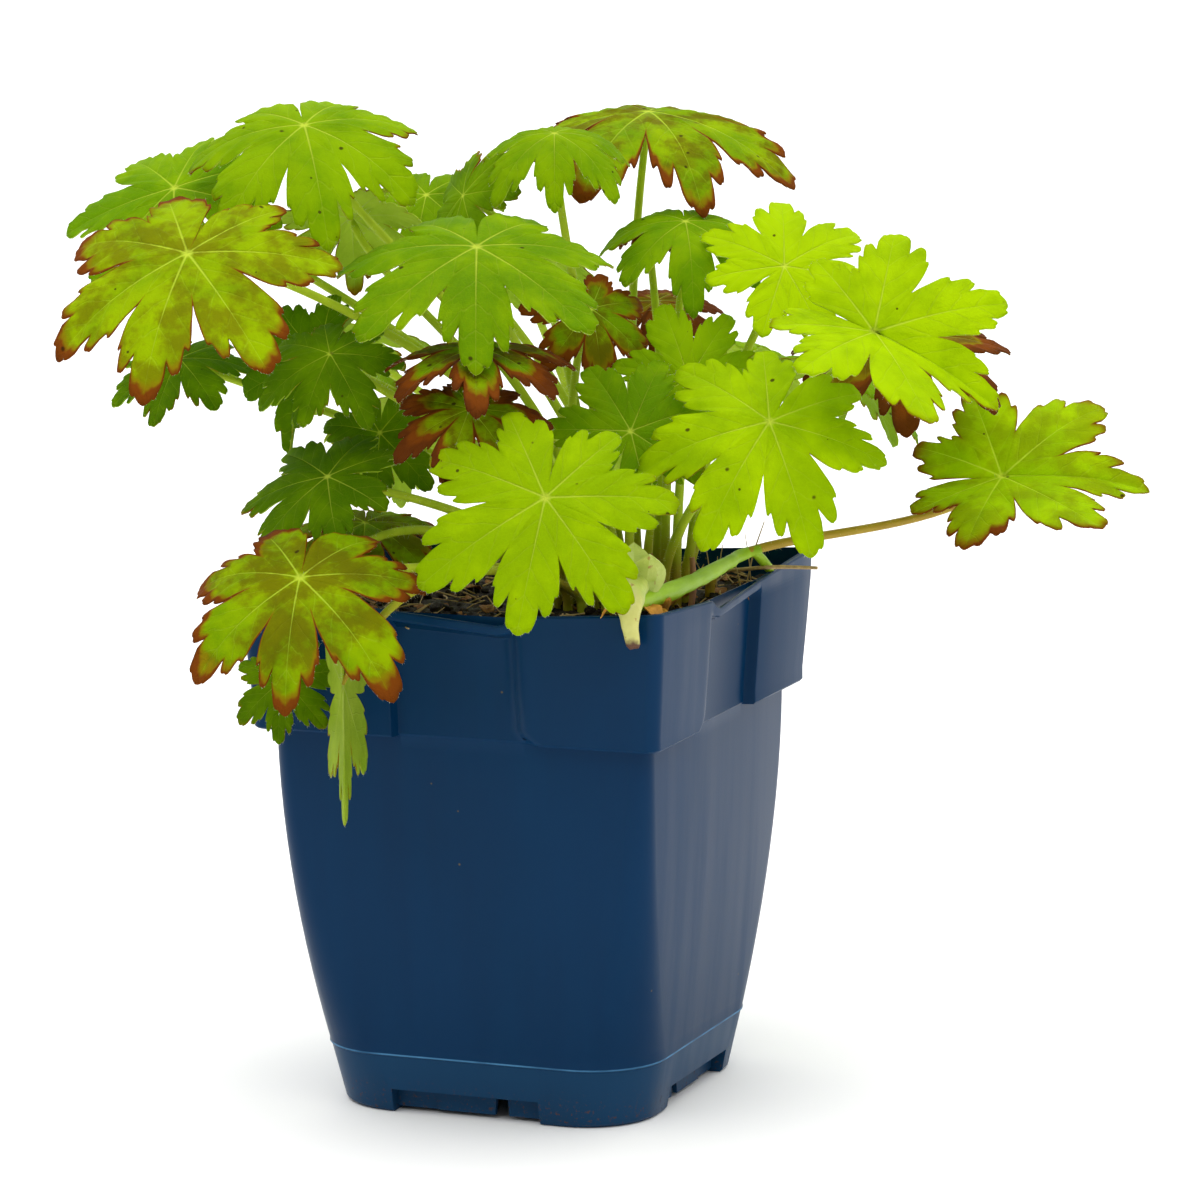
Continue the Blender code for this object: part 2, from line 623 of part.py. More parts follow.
def main():
    clear_scene()
    parts = new_collection("potted_cranesbill")
    roots = root_places()
    rough = {"pot": 0.45, "soil": 0.95, "crown": 0.85, "straw": 0.8}
    materials = {name: make_material(name, rough.get(name, 0.6)) for name in COLOURS}
    build_pot(parts).data.materials.append(materials["pot"])
    build_soil(parts, roots).data.materials.append(materials["soil"])
    build_crown(parts).data.materials.append(materials["crown"])
    shoot = build_route("side_shoot", SIDE_SHOOT, 8, parts)
    shoot.data.materials.append(materials["bright"])
    straw = build_route("straw", STRAW, 5, parts)
    straw.data.materials.append(materials["straw"])
    for leaf in LEAVES:
        thing = build_leaf(leaf, roots[leaf.name], parts)
        thing.data.materials.clear()
        thing.data.materials.append(materials[leaf.colour])
    for thing in parts.objects:
        split_faces(thing)


main()
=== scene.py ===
"""The looks of a potted cranesbill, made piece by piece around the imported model."""
import math
import random
from collections import namedtuple

import bmesh
import bpy
import numpy as np
from mathutils import Matrix, Vector, noise


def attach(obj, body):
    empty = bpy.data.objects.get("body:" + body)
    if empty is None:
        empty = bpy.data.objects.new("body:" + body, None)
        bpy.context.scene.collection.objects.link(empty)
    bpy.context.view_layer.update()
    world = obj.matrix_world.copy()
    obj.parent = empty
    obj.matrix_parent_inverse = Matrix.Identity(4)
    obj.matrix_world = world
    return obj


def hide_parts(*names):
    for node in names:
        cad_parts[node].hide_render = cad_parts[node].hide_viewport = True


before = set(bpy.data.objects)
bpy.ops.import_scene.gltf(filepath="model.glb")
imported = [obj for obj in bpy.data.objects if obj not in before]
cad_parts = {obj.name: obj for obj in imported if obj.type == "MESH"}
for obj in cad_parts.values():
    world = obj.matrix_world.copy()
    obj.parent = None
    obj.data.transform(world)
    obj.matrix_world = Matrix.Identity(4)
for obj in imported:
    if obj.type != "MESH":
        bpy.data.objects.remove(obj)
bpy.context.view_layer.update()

# The viewpoint: a long lens a metre and a half away, a little above the rim of the pot, that sees
# the pot's front and, more steeply, its right side.
VIEW_TURN = math.radians(21.8)
VIEW_RISE = math.radians(9.5)
VIEW_ROLL = math.radians(-0.65)
VIEW_DISTANCE = 1.585
LENS_SHARE = 5400 / 1200
SENSOR = 36.0
AIM_RIGHT = 0.0197
AIM_HEIGHT = 0.1445

right_hand = Vector((math.cos(VIEW_TURN), math.sin(VIEW_TURN), 0.0))
towards_eye = Vector((math.sin(VIEW_TURN) * math.cos(VIEW_RISE),
                      -math.cos(VIEW_TURN) * math.cos(VIEW_RISE), math.sin(VIEW_RISE)))
aim = right_hand * AIM_RIGHT + Vector((0, 0, AIM_HEIGHT))
upwards = towards_eye.cross(right_hand)
rolled_right = right_hand * math.cos(VIEW_ROLL) + upwards * math.sin(VIEW_ROLL)
rolled_up = upwards * math.cos(VIEW_ROLL) - right_hand * math.sin(VIEW_ROLL)
camera_data = bpy.data.cameras.new("camera")
camera_data.lens = LENS_SHARE * SENSOR
camera_data.sensor_width = SENSOR
camera_data.clip_start = 0.05
camera_data.clip_end = 60.0
camera = bpy.data.objects.new("camera", camera_data)
bpy.context.scene.collection.objects.link(camera)
turn = Matrix((rolled_right, rolled_up, towards_eye)).transposed().to_4x4()
camera.matrix_world = Matrix.Translation(aim + towards_eye * VIEW_DISTANCE) @ turn
bpy.context.scene.camera = camera

# The studio: a wide pale floor under one very soft overhead light, inside a white surrounding that
# is brighter behind the plant than in front of it.
FLOOR_HALF = 12.0
FLOOR_DROP = 0.0002
SUN_STRENGTH = 2.45
SUN_SPREAD = 1.5
SUN_PLACE = (0.02, -0.22, 1.2)
BRIGHT_SIDE = (-0.10, 0.98, 0.15)
SURROUND_DIM = 0.30
SURROUND_BRIGHT = 1.45

bpy.ops.object.select_all(action="DESELECT")
bpy.ops.mesh.primitive_plane_add(size=2 * FLOOR_HALF, location=(0, 0, -FLOOR_DROP))
floor = bpy.context.active_object
floor.name = "floor"
floor_paint = bpy.data.materials.new("floor")
floor_paint.use_nodes = True
floor_shader = floor_paint.node_tree.nodes["Principled BSDF"]
floor_shader.inputs["Base Color"].default_value = (0.93, 0.93, 0.925, 1)
floor_shader.inputs["Roughness"].default_value = 0.9
floor_shader.inputs["Specular IOR Level"].default_value = 0.1
floor.data.materials.append(floor_paint)

bpy.ops.object.select_all(action="DESELECT")
bpy.ops.object.light_add(type="SUN")
sky_light = bpy.context.active_object
sky_light.name = "overhead_light"
sky_light.data.energy = SUN_STRENGTH
sky_light.data.angle = SUN_SPREAD
sky_light.rotation_euler = Vector(SUN_PLACE).to_track_quat("Z", "Y").to_euler()
world = bpy.data.worlds.new("studio")
world.use_nodes = True
surround = world.node_tree
surround.nodes["Background"].inputs["Color"].default_value = (1.0, 1.0, 1.0, 1)
towards = surround.nodes.new("ShaderNodeVectorMath")
towards.operation = "DOT_PRODUCT"
towards.inputs[1].default_value = BRIGHT_SIDE
sky_way = surround.nodes.new("ShaderNodeTexCoord").outputs["Generated"]
surround.links.new(sky_way, towards.inputs[0])
strength = surround.nodes.new("ShaderNodeMapRange")
strength.inputs["From Min"].default_value = -1.0
strength.inputs["From Max"].default_value = 1.0
strength.inputs["To Min"].default_value = SURROUND_DIM
strength.inputs["To Max"].default_value = SURROUND_BRIGHT
surround.links.new(towards.outputs["Value"], strength.inputs["Value"])
surround.links.new(strength.outputs["Result"], surround.nodes["Background"].inputs["Strength"])
bpy.context.scene.world = world
bpy.context.scene.view_settings.view_transform = "Standard"
bpy.context.scene.view_settings.look = "None"

# The pot: one thin shell moulded in dark blue polypropylene, which stands loose on its four feet.
# Its tapered body flares from a rounded foot to a square collar, and each side of the collar has a
# sunk panel with a label pocket above it.
POT_HEIGHT = 0.154
RIM_HALF = 0.065
RIM_DIP = 0.003
COLLAR_FOOT = 0.114
COLLAR_FOOT_HALF = 0.0627
COLLAR_FLARE = 0.0003
SHOULDER_HALF = 0.0583
SEAM_HEIGHT = 0.018
SEAM_HALF = 0.052
BASE_HALF = 0.0483
BULGE = 1.7
WALL = 0.0015
PANEL_DEPTH = 0.0038
PANEL_SPAN = (-0.018, 0.017)
COLLAR_CORNER = 0.004
SHOULDER_CORNER = 0.006
SEAM_CORNER = 0.022
BASE_CORNER = 0.021
CORNER_STEPS = 9
BAND = 0.0012
BAND_DIP = 0.0040
BAND_HEIGHT = 0.0062
POCKET = (-0.0168, 0.0214)
RIB_ALONG = -0.0127
RIB_DEPTH = 0.0008
FLOOR_TOP = 0.0085
CHANNEL_TOP = 0.0065
FOOT_GAP = (-0.026, 0.020)
CENTRE_PAD = 0.008
APRON_SET_BACK = 0.0025
APRON_TOP = 0.0070
APRON_LIFT = 0.001
SLOT_SPAN = (0.004, 0.0105)
SLOT_TOP = 0.0058
SLOT_TAPER = 0.55
DRAIN_RADIUS = 0.004
DRAIN_REACH = 0.028
OUTSIDE = 0.07
BELOW = -0.01
STEP_ALONG = (-0.0009, -0.0004, -0.0001, 0.0001, 0.0004, 0.0009)
STEP_SHARE = (0.0, 0.06, 0.3, 0.7, 0.94, 1.0)
SLOPE_ALONG = (-0.0016, -0.0002, 0.0010, 0.0021, 0.0031, 0.0041, 0.0052, 0.0064, 0.0078)
SLOPE_SHARE = (1.0, 0.98, 0.89, 0.72, 0.50, 0.28, 0.11, 0.02, 0.0)
PANEL_WIDEN = 0.0045
FOOT_WIDEN = 0.0010
RIM_ROUND = 0.0015
SAG_SKEW = 0.9
SAG_FULL = 0.55
BODY_LEVELS = (0.0186, 0.022, 0.027, 0.033, 0.040, 0.048, 0.056, 0.064, 0.072, 0.080, 0.088, 0.096,
               0.104, 0.110, 0.1138)
HOLLOW_LEVELS = (0.018, 0.035, 0.055, 0.08, 0.1, 0.1138)
NECK_INSIDE = 0.148
POCKET_BACK = 0.06125
POCKET_FLOOR = 0.0095
SPARE = 0.01


def side_outline(half, corner, recess, inset, widen):
    """One side of the pot's outline as (along, out) pairs, up to the end of its last corner."""
    wall = half - inset
    step = PANEL_SPAN[0] - inset
    slope = PANEL_SPAN[1] + inset * 0.4 + widen
    side = [(step + along, wall - recess * share)
            for along, share in zip(STEP_ALONG, STEP_SHARE)]
    side += [(slope + along, wall - recess * share)
             for along, share in zip(SLOPE_ALONG, SLOPE_SHARE)]
    radius = max(corner - inset, RIM_ROUND)
    centre = wall - radius
    arc = []
    for i in range(CORNER_STEPS + 1):
        angle = math.radians(90 * i / CORNER_STEPS)
        arc.append((centre + radius * math.sin(angle), centre + radius * math.cos(angle)))
    return side, arc


def outline(half, corner, height, recess=0.0, inset=0.0, dip=0.0, band=0.0, widen=0.0):
    """A level outline of the pot. dip lowers each side's middle, band the label pocket's lip."""
    side, arc = side_outline(half, corner, recess, inset, widen)
    ring = [(along, -out) for along, out in side + arc]
    ring += [(out, -along) for along, out in reversed(side)]
    ring += [(out, along) for along, out in arc]
    points = []
    for x, y in ring + [(-x, -y) for x, y in ring]:
        share = min(abs(x), abs(y)) / max(abs(x), abs(y))
        along = x if y < -abs(x) else -y if x > abs(y) else -x if y > abs(x) else y
        reached = min(max((POCKET[1] - along) / (POCKET[1] - POCKET[0]), 0.0), 1.0)
        sag = max(math.sin(math.pi * reached ** SAG_SKEW), 0.0) ** SAG_FULL
        points.append((x, y, height - dip * (1 - share * share) - band * sag))
    return points


def loft(name, rings):
    """A closed body through rings, drawn out of a circle by one extrusion for each ring."""
    bpy.ops.object.select_all(action="DESELECT")
    bpy.ops.mesh.primitive_circle_add(vertices=len(rings[0]), radius=1.0)
    thing = bpy.context.active_object
    thing.name = name
    count = len(rings[0])
    bpy.ops.object.mode_set(mode="EDIT")
    bpy.ops.mesh.select_all(action="SELECT")
    for _ in rings[1:]:
        bpy.ops.mesh.extrude_region_move(TRANSFORM_OT_translate={"value": (0, 0, 1)})
    bpy.ops.object.mode_set(mode="OBJECT")
    mesh = thing.data
    order = [None] * (count * len(rings))
    start = {}
    for vertex in mesh.vertices:
        level = round(vertex.co.z)
        spot = math.atan2(vertex.co.y, vertex.co.x)
        start.setdefault(level, []).append((spot, vertex.index))
    for level, ring in enumerate(rings):
        for (_, index), place in zip(sorted(start[level]), ring):
            order[index] = place
    mesh.vertices.foreach_set("co", np.array(order).ravel())
    shape = bmesh.new()
    shape.from_mesh(mesh)
    bmesh.ops.holes_fill(shape, edges=[e for e in shape.edges if e.is_boundary], sides=0)
    bmesh.ops.recalc_face_normals(shape, faces=shape.faces)
    shape.to_mesh(mesh)
    shape.free()
    return thing


def body_outline(height, inset=0.0, widen=0.0):
    """An outline between seam and collar, where the pot bulges and its corners get rounder."""
    down = (COLLAR_FOOT - height) / (COLLAR_FOOT - SEAM_HEIGHT)
    half = SHOULDER_HALF - (SHOULDER_HALF - SEAM_HALF) * down ** BULGE
    corner = SHOULDER_CORNER + (SEAM_CORNER - SHOULDER_CORNER) * down ** 2
    return outline(half, corner, height, inset=inset, widen=widen)


def hollow_rings(inset, top):
    """The rings of the pot's inside, or of the soil where inset is a little more than the wall."""
    floor_half = BASE_HALF + (SEAM_HALF - BASE_HALF) * FLOOR_TOP / SEAM_HEIGHT
    rings = [outline(floor_half, BASE_CORNER, FLOOR_TOP + inset - WALL, inset=inset)]
    rings += [body_outline(level, inset) for level in HOLLOW_LEVELS]
    ledge = COLLAR_FOOT + WALL + 2.4 * (inset - WALL)
    rings.append(outline(COLLAR_FOOT_HALF, COLLAR_CORNER, ledge, PANEL_DEPTH, inset))
    rings.append(outline(RIM_HALF - COLLAR_FLARE, COLLAR_CORNER, NECK_INSIDE, PANEL_DEPTH, inset))
    rings.append(outline(RIM_HALF, COLLAR_CORNER, top, PANEL_DEPTH, inset))
    return rings


def block(name, low, high):
    """A cutter block between two corners."""
    size = [h - l for l, h in zip(low, high)]
    middle = [(h + l) / 2 for l, h in zip(low, high)]
    bpy.ops.object.select_all(action="DESELECT")
    bpy.ops.mesh.primitive_cube_add(size=1.0, location=middle, scale=size)
    thing = bpy.context.active_object
    thing.name = name
    bpy.ops.object.transform_apply(location=True, rotation=True, scale=True)
    return thing


def side_block(name, turn, along, out, height):
    """A cutter block on one of the pot's four sides, by its spans along it, out from it and up."""
    low, high = (along[0], -out[1], height[0]), (along[1], -out[0], height[1])
    if turn % 2:
        low, high = (out[0], -along[1], height[0]), (out[1], -along[0], height[1])
    if turn >= 2:
        low, high = (-high[0], -high[1], low[2]), (-low[0], -low[1], high[2])
    return block(name, low, high)


def pocket_cutter(turn):
    """The label pocket's hollow, which narrows to nothing where the panel slopes out."""
    shape = [(POCKET[0], POCKET_BACK), (0.0160, POCKET_BACK), (0.0182, 0.0616), (0.0203, 0.0630),
             (POCKET[1], RIM_HALF - BAND), (POCKET[0], RIM_HALF - BAND)]
    ring = [(along, -out) for along, out in shape]
    if turn % 2:
        ring = [(out, -along) for along, out in shape]
    if turn >= 2:
        ring = [(-x, -y) for x, y in ring]
    middle = (sum(x for x, _ in ring) / 6, sum(y for _, y in ring) / 6)
    ring.sort(key=lambda place: math.atan2(place[1] - middle[1], place[0] - middle[0]))
    heights = (POT_HEIGHT - POCKET_FLOOR, POT_HEIGHT + SPARE)
    return loft("pocket", [[(x, y, height) for x, y in ring] for height in heights])


def select_only(*things):
    """Leaves just these objects selected, the first of them active."""
    bpy.ops.object.select_all(action="DESELECT")
    for thing in things:
        thing.select_set(True)
    bpy.context.view_layer.objects.active = things[0]


def cut(thing, tools, operation="DIFFERENCE"):
    """Cuts or joins a piece with a set of tools, which are then gone."""
    group = bpy.data.collections.new("tools")
    for tool in tools:
        group.objects.link(tool)
    modifier = thing.modifiers.new("cut", "BOOLEAN")
    modifier.operation = operation
    modifier.operand_type = "COLLECTION"
    modifier.collection = group
    modifier.solver = "MANIFOLD"
    select_only(thing)
    bpy.ops.object.modifier_apply(modifier="cut")
    for tool in tools:
        bpy.data.objects.remove(tool, do_unlink=True)
    bpy.data.collections.remove(group)


foot_half = BASE_HALF + (SEAM_HALF - BASE_HALF) * 0.05
pot_rings = [outline(BASE_HALF - 0.0006, BASE_CORNER, 0.0, widen=FOOT_WIDEN),
             outline(foot_half, BASE_CORNER, 0.0009, widen=FOOT_WIDEN)]
for rise, swell in ((-0.0007, -0.0002), (-0.0003, 0.00022), (0.0001, 0.00022)):
    pot_rings.append(outline(SEAM_HALF + swell, SEAM_CORNER, SEAM_HEIGHT + rise, widen=PANEL_WIDEN))
pot_rings += [body_outline(level, widen=PANEL_WIDEN) for level in BODY_LEVELS]
for swell, rise, widen in ((-0.0005, 0.0, PANEL_WIDEN), (0.0, 0.0006, 0.0040),
                           (0.0, 0.0022, 0.0018), (0.0, 0.0042, 0.0004), (0.0010, 0.017, 0.0)):
    pot_rings.append(outline(COLLAR_FOOT_HALF + swell, COLLAR_CORNER, COLLAR_FOOT + rise,
                             PANEL_DEPTH, widen=widen))
neck = POT_HEIGHT - BAND_HEIGHT
for rise, share in ((-0.0022, 1.0), (-0.0010, 0.8), (0.0, 0.35), (0.0008, 0.08), (0.0016, 0.0)):
    half = RIM_HALF - COLLAR_FLARE * (0.6 - rise * 100)
    pot_rings.append(outline(half, COLLAR_CORNER, neck + rise, PANEL_DEPTH * share,
                             band=BAND_DIP * (1 - 0.4 * share)))
for inset, lower, band in ((0.0, 0.0005, 1), (0.0003, 0.0, 1), (0.0009, 0.0, 1),
                           (0.00128, 0.0003, 1), (0.0017, 0.0, 0)):
    pot_rings.append(outline(RIM_HALF, COLLAR_CORNER, POT_HEIGHT - lower, 0.0, inset, RIM_DIP,
                             BAND_DIP * band))
pot_rings.append(outline(RIM_HALF, COLLAR_CORNER, POT_HEIGHT - 0.0045, 0.0, 0.006))
pot = loft("moulded_pot", pot_rings)
cut(pot, [loft("hollow", hollow_rings(WALL, POT_HEIGHT + SPARE))])
carvers = []
face = BASE_HALF - APRON_SET_BACK
inner = face - WALL
for side in range(4):
    carvers.append(pocket_cutter(side))
    carvers.append(side_block("channel", side, FOOT_GAP, (CENTRE_PAD, inner), (BELOW, CHANNEL_TOP)))
    carvers.append(side_block("apron", side, FOOT_GAP, (face, OUTSIDE), (BELOW, APRON_TOP)))
    carvers.append(side_block("rib", side, (FOOT_GAP[0], RIB_ALONG), (face - RIB_DEPTH, OUTSIDE),
                              (BELOW, APRON_TOP)))
    outer = (inner - APRON_LIFT, OUTSIDE)
    carvers.append(side_block("lift", side, FOOT_GAP, outer, (BELOW, APRON_LIFT)))
    slot = side_block("slot", side, SLOT_SPAN, outer, (BELOW, SLOT_TOP))
    middle = sum((vertex.co for vertex in slot.data.vertices), Vector()) / 8
    for vertex in slot.data.vertices:
        if vertex.co.z > 0:
            if side % 2:
                vertex.co.y = middle.y + (vertex.co.y - middle.y) * SLOT_TAPER
            else:
                vertex.co.x = middle.x + (vertex.co.x - middle.x) * SLOT_TAPER
    carvers.append(slot)
    way_round = side * math.pi / 2
    drain = (DRAIN_REACH * math.cos(way_round), DRAIN_REACH * math.sin(way_round), 0.0)
    bpy.ops.object.select_all(action="DESELECT")
    bpy.ops.mesh.primitive_cylinder_add(vertices=20, radius=DRAIN_RADIUS, depth=0.04, location=drain)
    bpy.ops.object.transform_apply(location=True, rotation=True, scale=True)
    carvers.append(bpy.context.active_object)
for carver in carvers:
    cut(pot, [carver])
select_only(pot)
bpy.ops.object.shade_smooth_by_angle(angle=math.radians(32))


def add_node(tree, kind, inputs=None, **settings):
    """A shader node with its settings, whose inputs are values or other nodes' outputs."""
    made = tree.nodes.new("ShaderNode" + kind)
    for key, value in settings.items():
        setattr(made, key, value)
    for key, value in (inputs or {}).items():
        if isinstance(value, bpy.types.NodeSocket):
            tree.links.new(value, made.inputs[key])
        else:
            made.inputs[key].default_value = value
    return made


def reckon(tree, operation, first, second=0.0, third=0.0):
    """One step of arithmetic between two values of a material."""
    return add_node(tree, "Math", {0: first, 1: second, 2: third}, operation=operation).outputs[0]


def times(tree, first, second):
    return reckon(tree, "MULTIPLY", first, second)


def plus(tree, first, second):
    return reckon(tree, "ADD", first, second)


def spread_range(tree, value, low, high, to_low=0.0, to_high=1.0):
    """Value from low to high turned into a smooth share from to_low to to_high."""
    ends = {"Value": value, "From Min": low, "From Max": high, "To Min": to_low, "To Max": to_high}
    return add_node(tree, "MapRange", ends, interpolation_type="SMOOTHSTEP").outputs["Result"]


def blend_colours(tree, share, first, second, how="MIX"):
    """The first colour turned into the second by a share from 0 to 1."""
    made = add_node(tree, "Mix", {0: share, 6: first, 7: second}, data_type="RGBA", blend_type=how)
    return made.outputs[2]


def own_place(tree, axis):
    """How far a point of the piece lies along one axis, in metres."""
    place = add_node(tree, "TexCoord").outputs["Object"]
    return add_node(tree, "SeparateXYZ", {0: place}).outputs[axis]


def grain(tree, scale, detail=3.0, stretch=(1, 1, 1), rough=0.5):
    """Noise on the piece's own coordinates, in cells per metre."""
    place = add_node(tree, "TexCoord").outputs["Object"]
    mapped = add_node(tree, "Mapping", {"Vector": place, "Scale": stretch}).outputs["Vector"]
    values = {"Vector": mapped, "Scale": scale, "Detail": detail, "Roughness": rough}
    return add_node(tree, "TexNoise", values).outputs["Fac"]


def new_finish(name, roughness, specular):
    """An empty material with its shader's even values, its node tree and its shader."""
    finish = bpy.data.materials.new(name)
    finish.use_nodes = True
    tree = finish.node_tree
    shader = tree.nodes["Principled BSDF"]
    shader.inputs["Roughness"].default_value = roughness
    shader.inputs["Specular IOR Level"].default_value = specular
    return finish, tree, shader


def paint(tree, shader, colour):
    tree.links.new(colour, shader.inputs["Base Color"])


def relief(tree, shader, height, distance, strength=1.0):
    """Fine bumps of a material, at most distance high."""
    made = add_node(tree, "Bump", {"Height": height, "Distance": distance, "Strength": strength})
    tree.links.new(made.outputs["Normal"], shader.inputs["Normal"])


blue, tree, shader = new_finish("moulded_blue", 0.36, 0.08)
flow = grain(tree, 90, 4.0, (1, 1, 0.05))
cloudy = grain(tree, 24, 3.0)
tint = blend_colours(tree, flow, (0.0005, 0.022, 0.072, 1), (0.0015, 0.034, 0.098, 1))
tint = blend_colours(tree, times(tree, cloudy, 0.5), tint, (0.0005, 0.020, 0.055, 1))
height = own_place(tree, "Z")
low_down = spread_range(tree, height, 0.013, 0.0, 0.0, 1.0)
# Below the seam the blue is painted lighter: a painted reflection of the bright floor, with some
# scuffing.
floor_reflection_and_scuff = spread_range(tree, height, SEAM_HEIGHT + 0.0004, SEAM_HEIGHT - 0.0008, 0.0, 0.40)
tint = blend_colours(tree, floor_reflection_and_scuff, tint, (0.015, 0.066, 0.140, 1))
off_seam = reckon(tree, "ABSOLUTE", reckon(tree, "SUBTRACT", height, SEAM_HEIGHT - 0.00005))
seam_line = spread_range(tree, off_seam, 0.00032, 0.00014)
seam_line = times(tree, seam_line, spread_range(tree, flow, 0.3, 0.6, 0.35, 0.9))
tint = blend_colours(tree, seam_line, tint, (0.07, 0.22, 0.40, 1))
dust = spread_range(tree, grain(tree, 900, 6.0, rough=0.7), 0.56, 0.66)
dirt = times(tree, dust, times(tree, low_down, 0.9))
tint = blend_colours(tree, dirt, tint, (0.10, 0.045, 0.018, 1))
place = add_node(tree, "TexCoord").outputs["Object"]
speck = add_node(tree, "TexVoronoi", {"Vector": place, "Scale": 130.0})
speck_near = spread_range(tree, speck.outputs["Distance"], 0.06, 0.03)
speck_chance = add_node(tree, "SeparateXYZ", {0: speck.outputs["Color"]}).outputs["X"]
speck_rare = reckon(tree, "GREATER_THAN", speck_chance, 0.86)
tint = blend_colours(tree, times(tree, speck_near, speck_rare), tint, (0.09, 0.075, 0.05, 1))
paint(tree, shader, tint)
gloss = spread_range(tree, flow, 0.3, 0.7, 0.30, 0.42)
gloss = plus(tree, gloss, times(tree, dirt, 0.4))
tree.links.new(gloss, shader.inputs["Roughness"])
sanded = times(tree, grain(tree, 1600, 2.0), 0.35)
relief(tree, shader, plus(tree, flow, sanded), 0.00003)
pot.data.materials.clear()
pot.data.materials.append(blue)
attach(pot, "root")
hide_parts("pot")

# The soil: dark moist peat, pressed into the pot up to about a centimetre below the rim. It takes
# the pot's inner form, and its top is lumpy and highest round the crown.
GAP = 0.0003
SOIL_LEVEL = 0.1445
SOIL_CELLS = 150
CROWN_PLACE = (0.028, 0.004)
MOUND_REACH = 0.032
MOUND_RISE = 0.002


def soil_height(x, y):
    """The uneven surface of the soil, highest round the crown."""
    away = math.hypot(x - CROWN_PLACE[0], y - CROWN_PLACE[1]) / MOUND_REACH
    lumps = noise.fractal(Vector((x * 90, y * 90, 3.1)), 0.7, 2.2, 4)
    fine = noise.noise(Vector((x * 620, y * 620, 7.7)))
    return SOIL_LEVEL + MOUND_RISE * math.exp(-away * away) + 0.0016 * lumps + 0.0005 * fine


bpy.ops.object.select_all(action="DESELECT")
bpy.ops.mesh.primitive_grid_add(x_subdivisions=SOIL_CELLS, y_subdivisions=SOIL_CELLS,
                                size=2 * OUTSIDE)
surface = bpy.context.active_object
bpy.ops.object.mode_set(mode="EDIT")
bpy.ops.mesh.select_all(action="SELECT")
bpy.ops.mesh.extrude_region_move(TRANSFORM_OT_translate={"value": (0, 0, -0.01)})
bpy.ops.object.mode_set(mode="OBJECT")
for vertex in surface.data.vertices:
    if vertex.co.z > -0.005:
        vertex.co.z = soil_height(vertex.co.x, vertex.co.y)
    else:
        vertex.co.z = BELOW
select_only(surface)
bpy.ops.object.mode_set(mode="EDIT")
bpy.ops.mesh.select_all(action="SELECT")
bpy.ops.mesh.normals_make_consistent(inside=False)
bpy.ops.object.mode_set(mode="OBJECT")
soil = loft("soil_body", hollow_rings(WALL + GAP, POT_HEIGHT + SPARE))
cut(soil, [surface], "INTERSECT")
select_only(soil)
bpy.ops.object.shade_smooth_by_angle(angle=math.radians(40))
peat, tree, shader = new_finish("moist_peat", 0.9, 0.25)
clods = grain(tree, 260, 6.0, rough=0.7)
wet = blend_colours(tree, clods, (0.0035, 0.0022, 0.0014, 1), (0.030, 0.017, 0.009, 1))
tan = spread_range(tree, grain(tree, 1300, 4.0, (1, 0.35, 1)), 0.62, 0.70)
wet = blend_colours(tree, times(tree, tan, 0.8), wet, (0.14, 0.075, 0.026, 1))
paint(tree, shader, wet)
tree.links.new(spread_range(tree, clods, 0.35, 0.6, 0.55, 0.95), shader.inputs["Roughness"])
relief(tree, shader, grain(tree, 900, 6.0, rough=0.75), 0.0009)
soil.data.materials.clear()
soil.data.materials.append(peat)
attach(soil, "root")
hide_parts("soil")

# Soil crumbs and fibres: loose lumps of the same peat, and dry tan fibres and needles of plants.
# They lie scattered on the soil, a little sunk into it.
CRUMBS = 420
FIBRES = 170
SCATTER = 0.058


def one_piece(name, things):
    """Joins things into one piece with its place in its mesh."""
    select_only(*things)
    bpy.ops.object.transform_apply(location=True, rotation=True, scale=True)
    if len(things) > 1:
        bpy.ops.object.join()
    things[0].name = name
    return things[0]


def many(name, template, places):
    """One piece of many copies of a small mesh, each placed by its own matrix."""
    corners = np.array([vertex.co for vertex in template.data.vertices])
    faces = [list(face.vertices) for face in template.data.polygons]
    points, surfaces = [], []
    for i, place in enumerate(places):
        matrix = np.array(place)
        points.append(corners @ matrix[:3, :3].T + matrix[:3, 3])
        surfaces += [[v + i * len(corners) for v in face] for face in faces]
    mesh = bpy.data.meshes.new(name)
    mesh.from_pydata(np.concatenate(points).tolist(), [], surfaces)
    thing = bpy.data.objects.new(name, mesh)
    bpy.context.scene.collection.objects.link(thing)
    bpy.data.objects.remove(template, do_unlink=True)
    return thing


def on_soil(draw):
    """A random place on the soil, clear of the pot's wall."""
    return draw.uniform(-SCATTER, SCATTER), draw.uniform(-SCATTER, SCATTER)


draw = random.Random(11)
bpy.ops.object.select_all(action="DESELECT")
bpy.ops.mesh.primitive_ico_sphere_add(subdivisions=2, radius=1.0)
crumb = bpy.context.active_object
for vertex in crumb.data.vertices:
    vertex.co *= 1 + 0.35 * noise.noise(vertex.co * 1.7)
places = []
for _ in range(CRUMBS):
    x, y = on_soil(draw)
    size = draw.uniform(0.0006, 0.0019)
    spot = Matrix.Translation((x, y, soil_height(x, y) + size * 0.25))
    spin = Matrix.Rotation(draw.uniform(0, 6.28), 4, (draw.random(), draw.random(), 1))
    places.append(spot @ spin @ Matrix.Diagonal((size, size * draw.uniform(0.6, 1), size * 0.6, 1)))
crumbs = many("soil_crumbs", crumb, places)
crumbs.data.materials.append(peat)
select_only(crumbs)
bpy.ops.object.shade_smooth()
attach(crumbs, "root")

